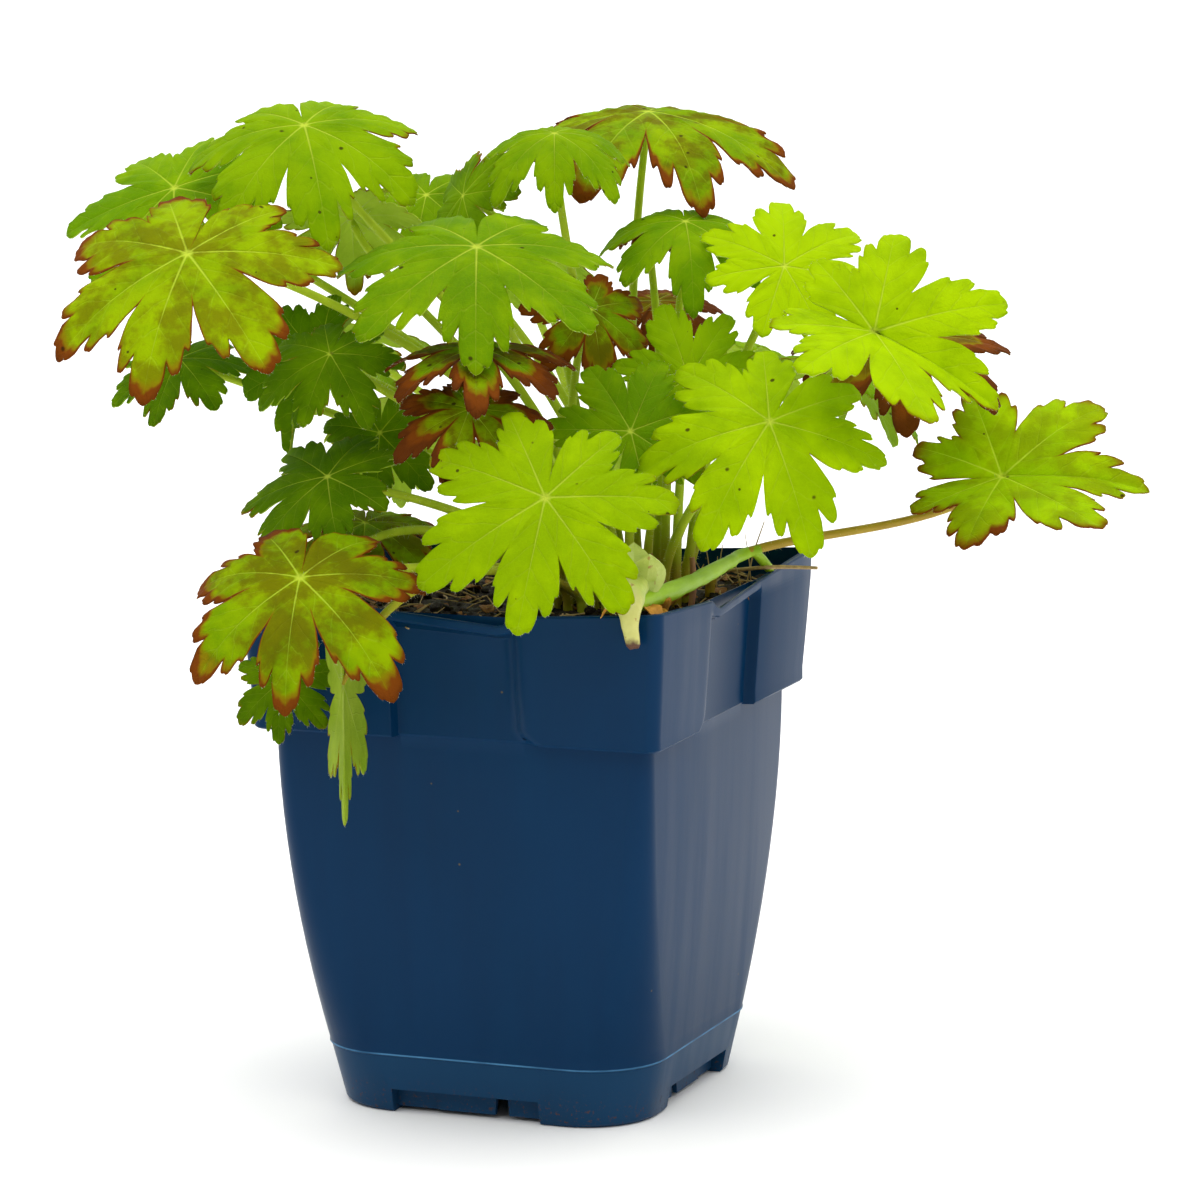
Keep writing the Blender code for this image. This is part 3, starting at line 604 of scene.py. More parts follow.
bpy.ops.object.select_all(action="DESELECT")
bpy.ops.mesh.primitive_cylinder_add(vertices=5, radius=1.0, depth=1.0)
fibre = bpy.context.active_object
bpy.ops.object.mode_set(mode="EDIT")
bpy.ops.mesh.select_all(action="SELECT")
bpy.ops.mesh.bisect(plane_co=(0, 0, 0.17), plane_no=(0, 0, 1))
bpy.ops.mesh.select_all(action="SELECT")
bpy.ops.mesh.bisect(plane_co=(0, 0, -0.17), plane_no=(0, 0, 1))
bpy.ops.object.mode_set(mode="OBJECT")
for vertex in fibre.data.vertices:
    vertex.co.x += 12 * (0.25 - vertex.co.z * vertex.co.z)
places = []
for _ in range(FIBRES):
    x, y = on_soil(draw)
    length = draw.uniform(0.004, 0.016)
    width = draw.uniform(0.00012, 0.0003)
    spot = Matrix.Translation((x, y, soil_height(x, y) + 0.0010))
    lean = Matrix.Rotation(draw.uniform(1.0, 1.6), 4, "X")
    spin = Matrix.Rotation(draw.uniform(0, 6.28), 4, "Z")
    places.append(spot @ spin @ lean @ Matrix.Diagonal((width, width, length, 1)))
fibres = many("soil_fibres", fibre, places)
straw_finish, tree, shader = new_finish("dry_straw", 0.7, 0.3)
streaks = grain(tree, 700, 4.0)
dry = blend_colours(tree, streaks, (0.22, 0.125, 0.045, 1), (0.70, 0.50, 0.24, 1))
paint(tree, shader, dry)
relief(tree, shader, streaks, 0.0002)
fibres.data.materials.append(straw_finish)
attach(fibres, "root")

# The straw: one dry stem of grass. It lies loose, from the soil up over the right side of the rim
# and out past it.
STRAW = ((41, 29, 146.8, 0.6), (47, 29, 150.5, 0.6), (56, 28, 152.3, 0.6), (66, 27, 153.6, 0.6),
         (79, 27, 154, 0.5))


def stem(name, route, sides, steps):
    """A round tapering stem along a route of places and radii in millimetres."""
    bpy.ops.object.select_all(action="DESELECT")
    bpy.ops.curve.primitive_nurbs_path_add()
    thing = bpy.context.active_object
    thing.name = name
    thing.data.splines.clear()
    thing.data.bevel_depth = 1.0
    thing.data.bevel_resolution = sides
    thing.data.use_fill_caps = True
    thing.data.resolution_u = steps
    spline = thing.data.splines.new("BEZIER")
    spline.bezier_points.add(len(route) - 1)
    for point, (x, y, z, radius) in zip(spline.bezier_points, route):
        point.co = (x / 1000, y / 1000, z / 1000)
        point.radius = radius / 1000
        point.handle_left_type = "AUTO"
        point.handle_right_type = "AUTO"
    bpy.ops.object.convert(target="MESH")
    thing = bpy.context.active_object
    bpy.ops.object.transform_apply(location=True, rotation=True, scale=True)
    bpy.ops.object.mode_set(mode="EDIT")
    bpy.ops.mesh.select_all(action="SELECT")
    bpy.ops.mesh.remove_doubles(threshold=0.000005)
    bpy.ops.mesh.normals_make_consistent(inside=False)
    bpy.ops.object.mode_set(mode="OBJECT")
    bpy.ops.object.shade_smooth_by_angle(angle=math.radians(50))
    return thing


straw = stem("grass_straw", STRAW, 2, 6)
straw.data.materials.append(straw_finish)
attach(straw, "root")
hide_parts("straw")

# The side shoot: a thick, juicy, yellow-green shoot with loose sheaths round it. It grows up out of
# the soil beside the crown, and its brown broken end hangs over the front rim.
SIDE_SHOOT = ((58.9, -69.2, 145.2, 1.1), (58.7, -69.2, 146, 1.6), (58.4, -69.6, 150, 2.1),
              (57.8, -69.4, 153.5, 2.9), (56.3, -65.5, 157.8, 4.1), (53, -56, 159.6, 5.0),
              (47, -40, 159.4, 4.6), (42.5, -22, 155, 3.4), (40, -16, 147, 2.7),
              (40, -16, 135, 2.3))
SHEATHS = ((56.5, -53, 158, 30, 14, 13), (50, -46, 160, 200, 25, 12), (52, -50, 160, 100, 30, 9))


def papery_scale():
    """A pointed scale one unit tall, slightly hollow and bent back at its tip."""
    bpy.ops.object.select_all(action="DESELECT")
    bpy.ops.mesh.primitive_grid_add(x_subdivisions=4, y_subdivisions=8, size=2)
    scale = bpy.context.active_object
    for vertex in scale.data.vertices:
        along = (vertex.co.y + 1) / 2
        width = 0.42 * math.sin(math.pi * min(along * 0.8 + 0.2, 1.0)) + 0.02
        aside = vertex.co.x * width
        ragged = 0.06 * noise.noise(Vector((aside * 9, along * 5, 0.4)))
        vertex.co = Vector((aside, 0.9 * aside * aside - 0.25 * along * along + ragged, along))
    thick = scale.modifiers.new("thick", "SOLIDIFY")
    thick.thickness = 0.04
    select_only(scale)
    bpy.ops.object.modifier_apply(modifier="thick")
    return scale


def leaned_places(rows):
    """Where scales stand, from rows of place and size in millimetres, turn and lean in degrees."""
    places = []
    for x, y, z, spin, lean, size in rows:
        spot = Matrix.Translation((x / 1000, y / 1000, z / 1000))
        turned = Matrix.Rotation(math.radians(spin), 4, "Z")
        leaned = turned @ Matrix.Rotation(math.radians(lean), 4, "X")
        places.append(spot @ leaned @ Matrix.Scale(size / 1000, 4))
    return places


shoot = stem("juicy_side_shoot", SIDE_SHOOT, 6, 12)
for vertex in shoot.data.vertices:
    ribs = noise.noise(Vector((vertex.co.x * 420, vertex.co.y * 90, vertex.co.z * 120))) * 0.0009
    vertex.co += vertex.normal * (ribs + noise.noise(vertex.co * 110) * 0.0009)
juicy, tree, shader = new_finish("juicy_shoot", 0.45, 0.4)
pale = blend_colours(tree, grain(tree, 140, 3.0), (0.24, 0.36, 0.03, 1), (0.62, 0.66, 0.16, 1))
reach = own_place(tree, "Y")
uneven = plus(tree, reach, times(tree, grain(tree, 300, 2.0), 0.004))
broken = spread_range(tree, uneven, -0.060, -0.0665)
pale = blend_colours(tree, times(tree, broken, 0.45), pale, (0.72, 0.60, 0.22, 1))
height = own_place(tree, "Z")
ragged = plus(tree, height, times(tree, grain(tree, 500, 2.0), 0.003))
tip = times(tree, broken, spread_range(tree, ragged, 0.1500, 0.1478))
pale = blend_colours(tree, tip, pale, (0.09, 0.03, 0.010, 1))
spots = spread_range(tree, grain(tree, 330, 3.0), 0.64, 0.70)
pale = blend_colours(tree, times(tree, spots, 0.7), pale, (0.30, 0.10, 0.012, 1))
paint(tree, shader, pale)
relief(tree, shader, grain(tree, 500, 4.0), 0.0003)
shoot.data.materials.append(juicy)
sheaths = many("sheaths", papery_scale(), leaned_places(SHEATHS))
sheaths.data.materials.append(juicy)
shoot = one_piece("juicy_side_shoot", [shoot, sheaths])
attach(shoot, "root")
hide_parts("side_shoot")

# The crown: the woody base that all stalks grow from, half sunk in the soil and wrapped in brown
# papery scales, the remains of older stalks.
CROWN_RADIUS = 0.0085
CROWN_DEPTH = 0.012
CROWN_RISE = 0.009
SCALES = 46
bpy.ops.object.select_all(action="DESELECT")
bpy.ops.mesh.primitive_uv_sphere_add(segments=48, ring_count=24, radius=1.0)
crown = bpy.context.active_object
for vertex in crown.data.vertices:
    up = vertex.co.z
    spread_out = CROWN_RADIUS * (1.0 if up < 0 else 1.0 - 0.25 * up * up)
    knobs = 1 + 0.10 * noise.noise(vertex.co * 3.5)
    flat = Vector((vertex.co.x, vertex.co.y, 0))
    squareness = (1 - abs(up) ** 6) ** (1 / 6) if abs(up) < 1 else 0.0
    if flat.length > 1e-6:
        flat = flat.normalized() * (squareness if up < 0 else flat.length) * spread_out * knobs
    tall = CROWN_RISE * up if up > 0 else CROWN_DEPTH * up
    vertex.co = Vector((CROWN_PLACE[0] + flat.x, CROWN_PLACE[1] + flat.y, SOIL_LEVEL + tall))
select_only(crown)
bpy.ops.object.shade_smooth()
places = []
draw = random.Random(23)
for i in range(SCALES):
    angle = i * 2.4 + draw.uniform(-0.3, 0.3)
    ring = CROWN_RADIUS * draw.uniform(0.55, 1.15)
    size = draw.uniform(0.005, 0.011)
    x, y = CROWN_PLACE[0] + ring * math.cos(angle), CROWN_PLACE[1] + ring * math.sin(angle)
    spot = Matrix.Translation((x, y, SOIL_LEVEL + draw.uniform(-0.001, 0.004)))
    face_out = Matrix.Rotation(angle + math.pi / 2, 4, "Z")
    lean = Matrix.Rotation(draw.uniform(-0.2, 0.7), 4, "X")
    places.append(spot @ face_out @ lean @ Matrix.Scale(size, 4))
scales = many("crown_scales", papery_scale(), places)
woody, tree, shader = new_finish("papery_brown", 0.75, 0.25)
fibrous = grain(tree, 350, 5.0, (1, 1, 0.3))
rust = blend_colours(tree, fibrous, (0.07, 0.022, 0.008, 1), (0.42, 0.20, 0.055, 1))
paint(tree, shader, rust)
relief(tree, shader, fibrous, 0.0004)
crown.data.materials.append(woody)
scales.data.materials.append(woody)
crown = one_piece("scaly_crown", [crown, scales])
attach(crown, "root")
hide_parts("crown")

# Bracts: the dry orange sheaths of older shoots, at the foot of the side shoot and of the stalks.
# They are thin scales that stick in the soil.
BRACTS = ((58.5, -57.5, 155, 60, 110, 6.5), (57, -50, 151, 70, 60, 6.0),
          (51.5, -66.5, 156, -70, 120, 4.5), (57, -44, 149, 60, 20, 8), (44, -42, 148, 10, 35, 9),
          (38, -26, 147, -30, 40, 10), (52, -30, 147, 110, 30, 9), (20, -12, 147, -40, 35, 9),
          (47, 4, 147, 90, 40, 8), (34, 20, 147, 160, 35, 9), (10, 2, 147, -90, 45, 8))
bracts = many("dry_bracts", papery_scale(), leaned_places(BRACTS))
amber, tree, shader = new_finish("amber_sheath", 0.6, 0.3)
fibrous = grain(tree, 420, 4.0, (1, 1, 0.3))
glow = blend_colours(tree, fibrous, (0.16, 0.045, 0.008, 1), (0.75, 0.36, 0.03, 1))
paint(tree, shader, glow)
relief(tree, shader, fibrous, 0.0003)
bracts.data.materials.append(amber)
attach(bracts, "root")

# Bark flakes: thin curled bits of bark and old leaf, dry and brown, that lie all over the soil on
# no particular side.
FLAKES = 110
draw = random.Random(47)
places = []
for _ in range(FLAKES):
    x, y = on_soil(draw)
    spot = Matrix.Translation((x, y, soil_height(x, y) + 0.0008))
    spin = Matrix.Rotation(draw.uniform(0, 6.28), 4, "Z")
    lay = spin @ Matrix.Rotation(draw.uniform(1.1, 2.0), 4, "X")
    places.append(spot @ lay @ Matrix.Scale(draw.uniform(0.002, 0.006), 4))
flakes = many("bark_flakes", papery_scale(), places)
flakes.data.materials.append(woody)
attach(flakes, "root")

# Straws and sticks: thin dry stalks that stand in the soil behind, and one pink stick beside the
# crown, all stuck a little way into the soil.
STRAWS = 11
draw = random.Random(31)
straws = []
for _ in range(STRAWS):
    x, y = draw.uniform(34, 57), draw.uniform(8, 56)
    lean_x, lean_y, tall = draw.uniform(-5, 5), draw.uniform(-4, 4), draw.uniform(8, 17)
    girth = draw.uniform(0.16, 0.28)
    halfway = (x + lean_x * 0.4, y + lean_y * 0.5, 145 + tall * 0.5, girth)
    top = (x + lean_x, y + lean_y, 146 + tall, girth * 0.6)
    straws.append(stem("straw", ((x, y, 143, girth), halfway, top), 1, 4))
straws = one_piece("standing_straws", straws)
straws.data.materials.append(straw_finish)
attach(straws, "root")
stick = stem("pink_stick", ((50, -2, 143, 0.9), (51, -1.5, 152, 1.0), (50.5, -1, 160, 0.8)), 2, 4)
pink, tree, shader = new_finish("pink_stick", 0.7, 0.2)
fibrous = grain(tree, 400, 4.0, (1, 1, 0.3))
bark = blend_colours(tree, fibrous, (0.30, 0.10, 0.05, 1), (0.62, 0.34, 0.20, 1))
paint(tree, shader, bark)
relief(tree, shader, grain(tree, 600, 3.0, (1, 1, 0.3)), 0.0002)
stick.data.materials.append(pink)
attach(stick, "root")

# The leaves: thin hairy blades of seven toothed lobes, each grown on its own long stalk that stands
# in the soil at the crown. One flat blade is copied, then bent, drooped and folded for each leaf.
PLANT_TURN = VIEW_TURN
BLADE = 0.00042
STALK = 0.0014
STALK_FOOT = 0.004
STALK_TIP = 0.003
ROOT_DEPTH = 0.010
LOBE_ANGLES = (-148, -105, -46, 0, 46, 105, 148)
LOBE_REACH = (0.74, 0.88, 0.98, 1.00, 0.98, 0.88, 0.74)
SINUS_ANGLES = (-180, -128, -75, -23, 23, 75, 128, 180)
SINUS_REACH = (0.13, 0.50, 0.40, 0.45, 0.45, 0.40, 0.50, 0.13)
LOBE_SPREAD = 0.80
LOBE_ROUND = 0.30
VEIN_SPAN = 25
VEIN_SLANT = 1.25
VEIN_STEP = 0.19
PLEAT = 0.05
WAVE = 0.03
RIB_LIFT = 0.0075
VEIN_GROOVE = 0.004
FINE_WAVES = ((0.018, 3, 7), (0.010, 4, 15))
LOBE_COLUMNS = (36, 56, 56, 56, 56, 56, 36)
RINGS = (0.0, 0.10, 0.20, 0.31, 0.43, 0.55, 0.67, 0.78, 0.87, 0.94, 1.0)
NOTCHES = ((0.143, 0.14, 0.030), (0.357, 0.20, 0.200), (0.536, 0.12, 0.030), (0.714, 0.17, 0.130))
RIM_SPAN = 14

# A leaf's row: where the blade's hub is as the camera sees it and the blade's radius, in
# millimetres, then which way it faces, its tilt, turn, droop and fold, in degrees. Bow moves the
# middle of its stalk sideways and arch lifts the stalk before the blade, in millimetres.
Leaf = namedtuple("Leaf", "name across up toward radius facing tilt turn droop fold colour"
                          " bow arch", defaults=(0, 0))
# The colour column picks a leaf kind; bright, mid and dark carry painted light, from backlit to
# shaded.
LEAVES = (
    Leaf("leaf_top_left", -64, 285, 5, 43, -5, 24, 15, 45, 0, "mid", -3),
    Leaf("leaf_far_left", -103, 266, -10, 39, -30, 35, -20, 25, 0, "mid", 3),
    Leaf("leaf_left_red", -95, 253, 51, 48, -15, 36, -5, 32, 0, "red", -7, 16),
    Leaf("leaf_left_under", -102, 217, 0, 25, -20, 25, 0, 35, 0, "dark"),
    Leaf("leaf_left_folded", -60, 217, 8, 30, -50, 60, -15, 30, 45, "dark"),
    Leaf("leaf_left_inner", -56, 223, 42, 25, -15, 38, -10, 35, 0, "dark", 3),
    Leaf("leaf_left_shade", -43, 198, 25, 22, -10, 60, 0, 40, 0, "dark"),
    Leaf("leaf_top_front", -14, 253, 42, 48, 0, 22, 0, 34, 0, "mid", -6),
    Leaf("leaf_top_middle", 8, 281, -5, 29, 0, 15, 0, 60, 0, "mid"),
    Leaf("leaf_top_right", 36, 283, -58, 51, 10, 6, 10, 42, 0, "red", 4),
    Leaf("leaf_right_olive", 46, 254, -15, 31, 5, 18, 0, 50, 0, "mid"),
    Leaf("leaf_right_star", 74, 243, 8, 32, 10, 45, 125, 25, 0, "bright"),
    Leaf("leaf_right_backlit", 98, 228, 47, 42, 10, 40, 55, 25, 25, "bright"),
    Leaf("leaf_right_brown", 108, 221, 2, 39, 0, 20, 0, 30, 0, "dead"),
    Leaf("leaf_far_right", 137, 181, 10, 42, -15, 34, 98, 20, 18, "bright", 0, -18),
    Leaf("leaf_right_low", 68, 204, 55, 40, 0, 46, -30, 25, 0, "bright"),
    Leaf("leaf_front", 5, 189, 95, 41, 0, 55, -12, 20, 0, "bright"),
    Leaf("leaf_centre_red", -14, 226, 56, 32, 0, 6, 0, 30, 0, "red"),
    Leaf("leaf_centre_under", -16, 210, 67, 26, 0, 28, -15, 30, 0, "red"),
    Leaf("leaf_centre_olive", 18, 231, 6, 24, 20, 50, 0, 40, 0, "red"),
    Leaf("leaf_centre", 29, 200, 42, 28, 0, 55, 160, 20, 0, "mid"),
    Leaf("leaf_centre_right", 46, 212, 20, 26, 0, 62, 150, 20, 0, "mid"),
    Leaf("leaf_right_shade", 38, 224, -75, 25, 0, 20, 0, 40, 0, "dead"),
    Leaf("leaf_top_dead", 35, 250, -37, 12, 30, 10, 0, 80, 0, "dead", -5),
    Leaf("leaf_back_dark", -31, 259, -55, 28, -10, 30, 0, 40, 0, "dark"),
    Leaf("leaf_back_pale", -52, 256, -20, 26, 180, 45, 0, 30, 0, "dark"),
    Leaf("leaf_top_edge", -19, 262, -20, 24, -60, 65, 0, 30, 0, "dark"),
    Leaf("leaf_lower_left", -57, 189, 50, 30, -30, 35, -75, 30, 0, "dark"),
    Leaf("leaf_lower_olive", -48, 171, 19, 30, 0, 14, 0, 35, 0, "red"),
    Leaf("leaf_low_red", -63, 167, 92, 41, -10, 35, 0, 40, 0, "red"),
    Leaf("leaf_lowest", -70, 132, 54, 19, -20, 60, 0, 20, 0, "dark", -4, 72),
    Leaf("leaf_hanging", -52, 136, 87, 38, 180, 95, 0, 10, 79, "mid", -1, 45),
    Leaf("leaf_rear_left", -60, 215, -75, 35, 200, 25, 0, 40, 0, "mid"),
    Leaf("leaf_rear_high", -5, 240, -95, 35, 180, 20, 0, 40, 0, "mid"),
    Leaf("leaf_rear_right", 60, 205, -112, 35, 165, 25, 0, 40, 0, "mid"),
    Leaf("leaf_rear_side", 92, 205, -60, 34, 130, 25, 0, 40, 0, "mid"),
    Leaf("leaf_rear_low_left", -40, 185, -105, 34, 190, 40, 0, 40, 0, "dark"),
    Leaf("leaf_rear_low_right", 15, 175, -122, 33, 175, 40, 0, 40, 0, "dark"),
)

# Each column of the blade: which lobe it is in, where across it from -1 to 1, and its angle.
column_lobe, column_place = [], []
for i, count in enumerate(LOBE_COLUMNS):
    for j in range(count):
        column_lobe.append(i)
        column_place.append(-1 + 2 * j / count)
column_lobe.append(len(LOBE_COLUMNS) - 1)
column_place.append(1.0)
column_lobe = np.array(column_lobe)
column_place = np.array(column_place)
COLUMNS = len(column_lobe) - 1
lobe_middle = np.array(LOBE_ANGLES)[column_lobe]
sinus_angle = np.array(SINUS_ANGLES)
half_width = np.where(column_place > 0, sinus_angle[column_lobe + 1] - lobe_middle,
                      lobe_middle - sinus_angle[column_lobe])
column_angle = np.radians(lobe_middle + column_place * half_width)
sinus_reach = np.array(SINUS_REACH)
sinus = np.where(column_place > 0, sinus_reach[column_lobe + 1], sinus_reach[column_lobe])


def lobe_reach(draw):
    """How far the blade reaches in each column, with and without its teeth, for one leaf."""
    length = np.array(LOBE_REACH) * draw.uniform(0.95, 1.03, len(LOBE_REACH))
    place = np.abs(column_place)
    shoulder = length[column_lobe] * (1 - LOBE_ROUND * np.minimum(place, LOBE_SPREAD) ** 2)
    fall = np.clip((place - LOBE_SPREAD) / (1 - LOBE_SPREAD), 0, 1) ** 1.15
    plain = shoulder * (1 - fall) + sinus * fall
    toothed = plain.copy()
    for lobe in range(len(LOBE_REACH)):
        for side in (-1, 1):
            for centre, width, depth in NOTCHES:
                away = np.minimum(np.abs(column_place * side - centre) / width, 1.0)
                cut_in = (1 - away) ** 2
                cut_in[column_lobe != lobe] = 0.0
                toothed *= 1 - depth * draw.uniform(0.6, 1.25) * cut_in
    toothed *= 1 + 0.03 * (place < 0.35) - 0.02 * (place > 0.36) - 0.03 * (place > 0.72)
    return plain, toothed


bpy.ops.object.select_all(action="DESELECT")
bpy.ops.mesh.primitive_grid_add(x_subdivisions=COLUMNS, y_subdivisions=len(RINGS) - 1, size=2)
flat_blade = bpy.context.active_object
flat_blade.name = "flat_blade"
grid = np.zeros(len(flat_blade.data.vertices) * 3)
flat_blade.data.vertices.foreach_get("co", grid)
grid = grid.reshape(-1, 3)
vertex_column = np.rint((grid[:, 0] + 1) / 2 * COLUMNS).astype(int)
vertex_ring = np.rint((grid[:, 1] + 1) / 2 * (len(RINGS) - 1)).astype(int)
vertex_share = np.array(RINGS)[vertex_ring]

# The blade carries a map of each lobe, along its middle vein and across it, for the veins' pattern.
corner_vertex = np.zeros(len(flat_blade.data.loops), int)
flat_blade.data.loops.foreach_get("vertex_index", corner_vertex)
face_columns = vertex_column[corner_vertex].reshape(-1, 4)
corner_lobe = np.repeat(column_lobe[face_columns.min(axis=1)], 4)
plain_reach, _ = lobe_reach(np.random.RandomState(0))
corner_column = vertex_column[corner_vertex]
corner_radius = vertex_share[corner_vertex] * plain_reach[corner_column]
corner_turn = column_angle[corner_column] - np.radians(np.array(LOBE_ANGLES)[corner_lobe])
lobe_map = np.stack([corner_radius * np.cos(corner_turn), corner_radius * np.sin(corner_turn)],
                    axis=1)
for layer in list(flat_blade.data.uv_layers):
    flat_blade.data.uv_layers.remove(layer)
flat_blade.data.uv_layers.new(name="lobe").data.foreach_set("uv", lobe_map.ravel())


def plant_point(across, up, toward):
    """A place given as seen from the plant's best side, in millimetres."""
    return Matrix.Rotation(PLANT_TURN, 3, "Z") @ Vector((across, -toward, up)) / 1000


def leaf_frame(leaf):
    """The blade's own axes: along its middle lobe, across it, and up from its face."""
    tilt = math.radians(leaf.tilt)
    facing = math.radians(leaf.facing)
    side = Vector((math.sin(facing), -math.cos(facing), 0.0))
    side.rotate(Matrix.Rotation(PLANT_TURN, 3, "Z"))
    up = Vector((0, 0, 1))
    normal = up * math.cos(tilt) + side * math.sin(tilt)
    downhill = side * math.cos(tilt) - up * math.sin(tilt)
    middle = Matrix.Rotation(math.radians(leaf.turn), 3, normal) @ downhill
    return middle, normal.cross(middle), normal


def bend_blade(leaf, draw):
    """The places of one leaf's vertices, drooped, pleated and folded, and how near its edge."""
    plain, toothed = lobe_reach(draw)
    share = vertex_share
    reach = plain[vertex_column] + (toothed - plain)[vertex_column] * share ** 4
    radius = np.maximum(share * reach, 1e-4)
    angle = column_angle[vertex_column]
    from_vein = angle - np.radians(lobe_middle)[vertex_column]
    bend = math.radians(leaf.droop) * radius
    out = radius * np.sin(bend) / bend
    drop = radius * (1 - np.cos(bend)) / bend
    vein = np.minimum(np.abs(np.degrees(from_vein)) / VEIN_SPAN, 1.0)
    phase = random.Random(leaf.name).uniform(0, 2 * math.pi)
    lift = PLEAT * radius * vein ** 0.8 + WAVE * radius ** 2 * np.sin(3 * angle + phase)
    along, aside = radius * np.cos(from_vein), np.abs(radius * np.sin(from_vein))
    ribs = np.cos(2 * math.pi * (along - VEIN_SLANT * aside) / VEIN_STEP)
    lift += -RIB_LIFT * ribs * np.clip(aside / 0.08, 0, 1)
    lift += -VEIN_GROOVE * np.exp(-(aside / 0.02) ** 2) * np.clip(radius / 0.2, 0, 1)
    wavy = draw.uniform(0, 6.28, len(FINE_WAVES))
    waves = [high * radius ** power * np.sin(count * angle + start)
             for (high, power, count), start in zip(FINE_WAVES, wavy)]
    lift += waves[0] + waves[1]
    curl = draw.uniform(-0.05, 0.42, len(LOBE_REACH))[column_lobe][vertex_column]
    lift -= curl * np.maximum(radius - 0.45, 0) ** 2
    arch = draw.uniform(0.15, 0.55, len(LOBE_REACH))[column_lobe][vertex_column]
    lift -= arch * aside ** 2 * np.clip((radius - 0.25) / 0.3, 0, 1)
    twist = draw.uniform(-0.10, 0.10, len(LOBE_REACH))[column_lobe][vertex_column]
    lift += twist * radius * np.sin(from_vein) * np.clip((radius - 0.4) / 0.4, 0, 1) * 2
    x, y = out * np.cos(angle), out * np.sin(angle)
    half = math.radians(leaf.fold)
    local = np.stack([x, y * math.cos(half), lift - drop + np.abs(y) * math.sin(half)], axis=1)
    axes = np.array(leaf_frame(leaf))
    hub = np.array(plant_point(leaf.across, leaf.up, leaf.toward))
    near_edge = 1 - np.clip((1 - share) * reach * leaf.radius / RIM_SPAN, 0, 1)
    return hub + local @ axes * (leaf.radius / 1000), near_edge


def root_of(leaf):
    """Where the leaf's stalk stands in the soil, read from its CAD solid."""
    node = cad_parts[leaf.name]
    low = [vertex.co for vertex in node.data.vertices if vertex.co.z < SOIL_LEVEL - 0.008
           and math.hypot(vertex.co.x - CROWN_PLACE[0], vertex.co.y - CROWN_PLACE[1]) < 0.027]
    return sum(low, Vector()) / len(low)


def stalk_controls(leaf, root):
    """The stalk's curve: its foot, the two points that draw it, and the blade's hub."""
    hub = plant_point(leaf.across, leaf.up, leaf.toward)
    normal = leaf_frame(leaf)[2]
    foot = Vector((root.x, root.y, SOIL_LEVEL + STALK_FOOT))
    up = Vector((0, 0, 1))
    way = hub - foot
    span = way.length
    steep = max(way.z / span, 0.0)
    outward = Vector((way.x, way.y, 0.0)).normalized()
    sideways = up.cross(outward) * leaf.bow / 1000
    arrival = (normal * steep ** 2 + outward * (1 - steep)).normalized()
    first = foot + up * span * (0.08 + 0.4 * steep) + sideways
    last = hub - arrival * span * 0.25 + up * leaf.arch / 1000 + sideways
    return foot, first, last, hub


def make_stalk(leaf, root):
    """The leaf's round stalk, from its foot deep in the soil up to the blade's underside."""
    foot, first, last, hub = stalk_controls(leaf, root)
    bpy.ops.object.select_all(action="DESELECT")
    bpy.ops.curve.primitive_bezier_curve_add(radius=1.0, location=(0, 0, 0))
    thing = bpy.context.active_object
    curve = thing.data
    curve.bevel_depth = STALK
    curve.bevel_resolution = 3
    curve.resolution_u = 26
    curve.use_fill_caps = True
    spline = curve.splines[0]
    spline.bezier_points.add(1)
    deep = Vector((root.x, root.y, SOIL_LEVEL - ROOT_DEPTH + 0.002))
    stops = ((deep, deep, foot, 1.15), (foot, foot * 0.5 + deep * 0.5, first, 1.08),
             (hub, last, hub, 0.80))
    for point, (place, before, after, girth) in zip(spline.bezier_points, stops):
        point.handle_left_type = "FREE"
        point.handle_right_type = "FREE"
        point.co = place
        point.handle_left = before
        point.handle_right = after
        point.radius = girth
    bpy.ops.object.convert(target="MESH")
    thing = bpy.context.active_object
    normal = leaf_frame(leaf)[2]
    arrival = (hub - last).normalized()
    for vertex in thing.data.vertices:
        short = (hub - vertex.co).dot(arrival)
        if abs(short) < STALK_TIP and (hub - vertex.co).length < 2 * STALK_TIP:
            axis = hub - arrival * short
            near = 1 - max(short, 0.0) / STALK_TIP
            vertex.co = axis.lerp(vertex.co, 1 - 0.6 * near) - normal * 0.0004 * near
    return thing


def tangent_frame(direction):
    """Two directions square to the given ones, for many at once."""
    helper = np.where(np.abs(direction[:, 2:3]) > 0.9, [[1.0, 0, 0]], [[0, 0, 1.0]])
    first = np.cross(direction, helper)
    first /= np.linalg.norm(first, axis=1, keepdims=True)
    return first, np.cross(direction, first)


HAIR_SIDES = (0.0, 2.094, 4.189)
HAIR_RADIUS = 0.00003


def grow_hairs(base, direction, length):
    """Fine hairs as three-sided spikes, one mesh for all of one leaf's."""
    direction = direction / np.linalg.norm(direction, axis=1, keepdims=True)
    first, second = tangent_frame(direction)
    corners = [base + HAIR_RADIUS * (math.cos(t) * first + math.sin(t) * second)
               for t in HAIR_SIDES]
    tips = base + direction * length[:, None]
    points = np.stack(corners + [tips], axis=1).reshape(-1, 3)
    start = 4 * np.arange(len(base))[:, None, None]
    faces = (start + np.array([[0, 1, 3], [1, 2, 3], [2, 0, 3], [0, 2, 1]])[None]).reshape(-1, 3)
    mesh = bpy.data.meshes.new("hairs")
    mesh.from_pydata(points.tolist(), [], faces.tolist())
    thing = bpy.data.objects.new("hairs", mesh)
    bpy.context.scene.collection.objects.link(thing)
    return thing


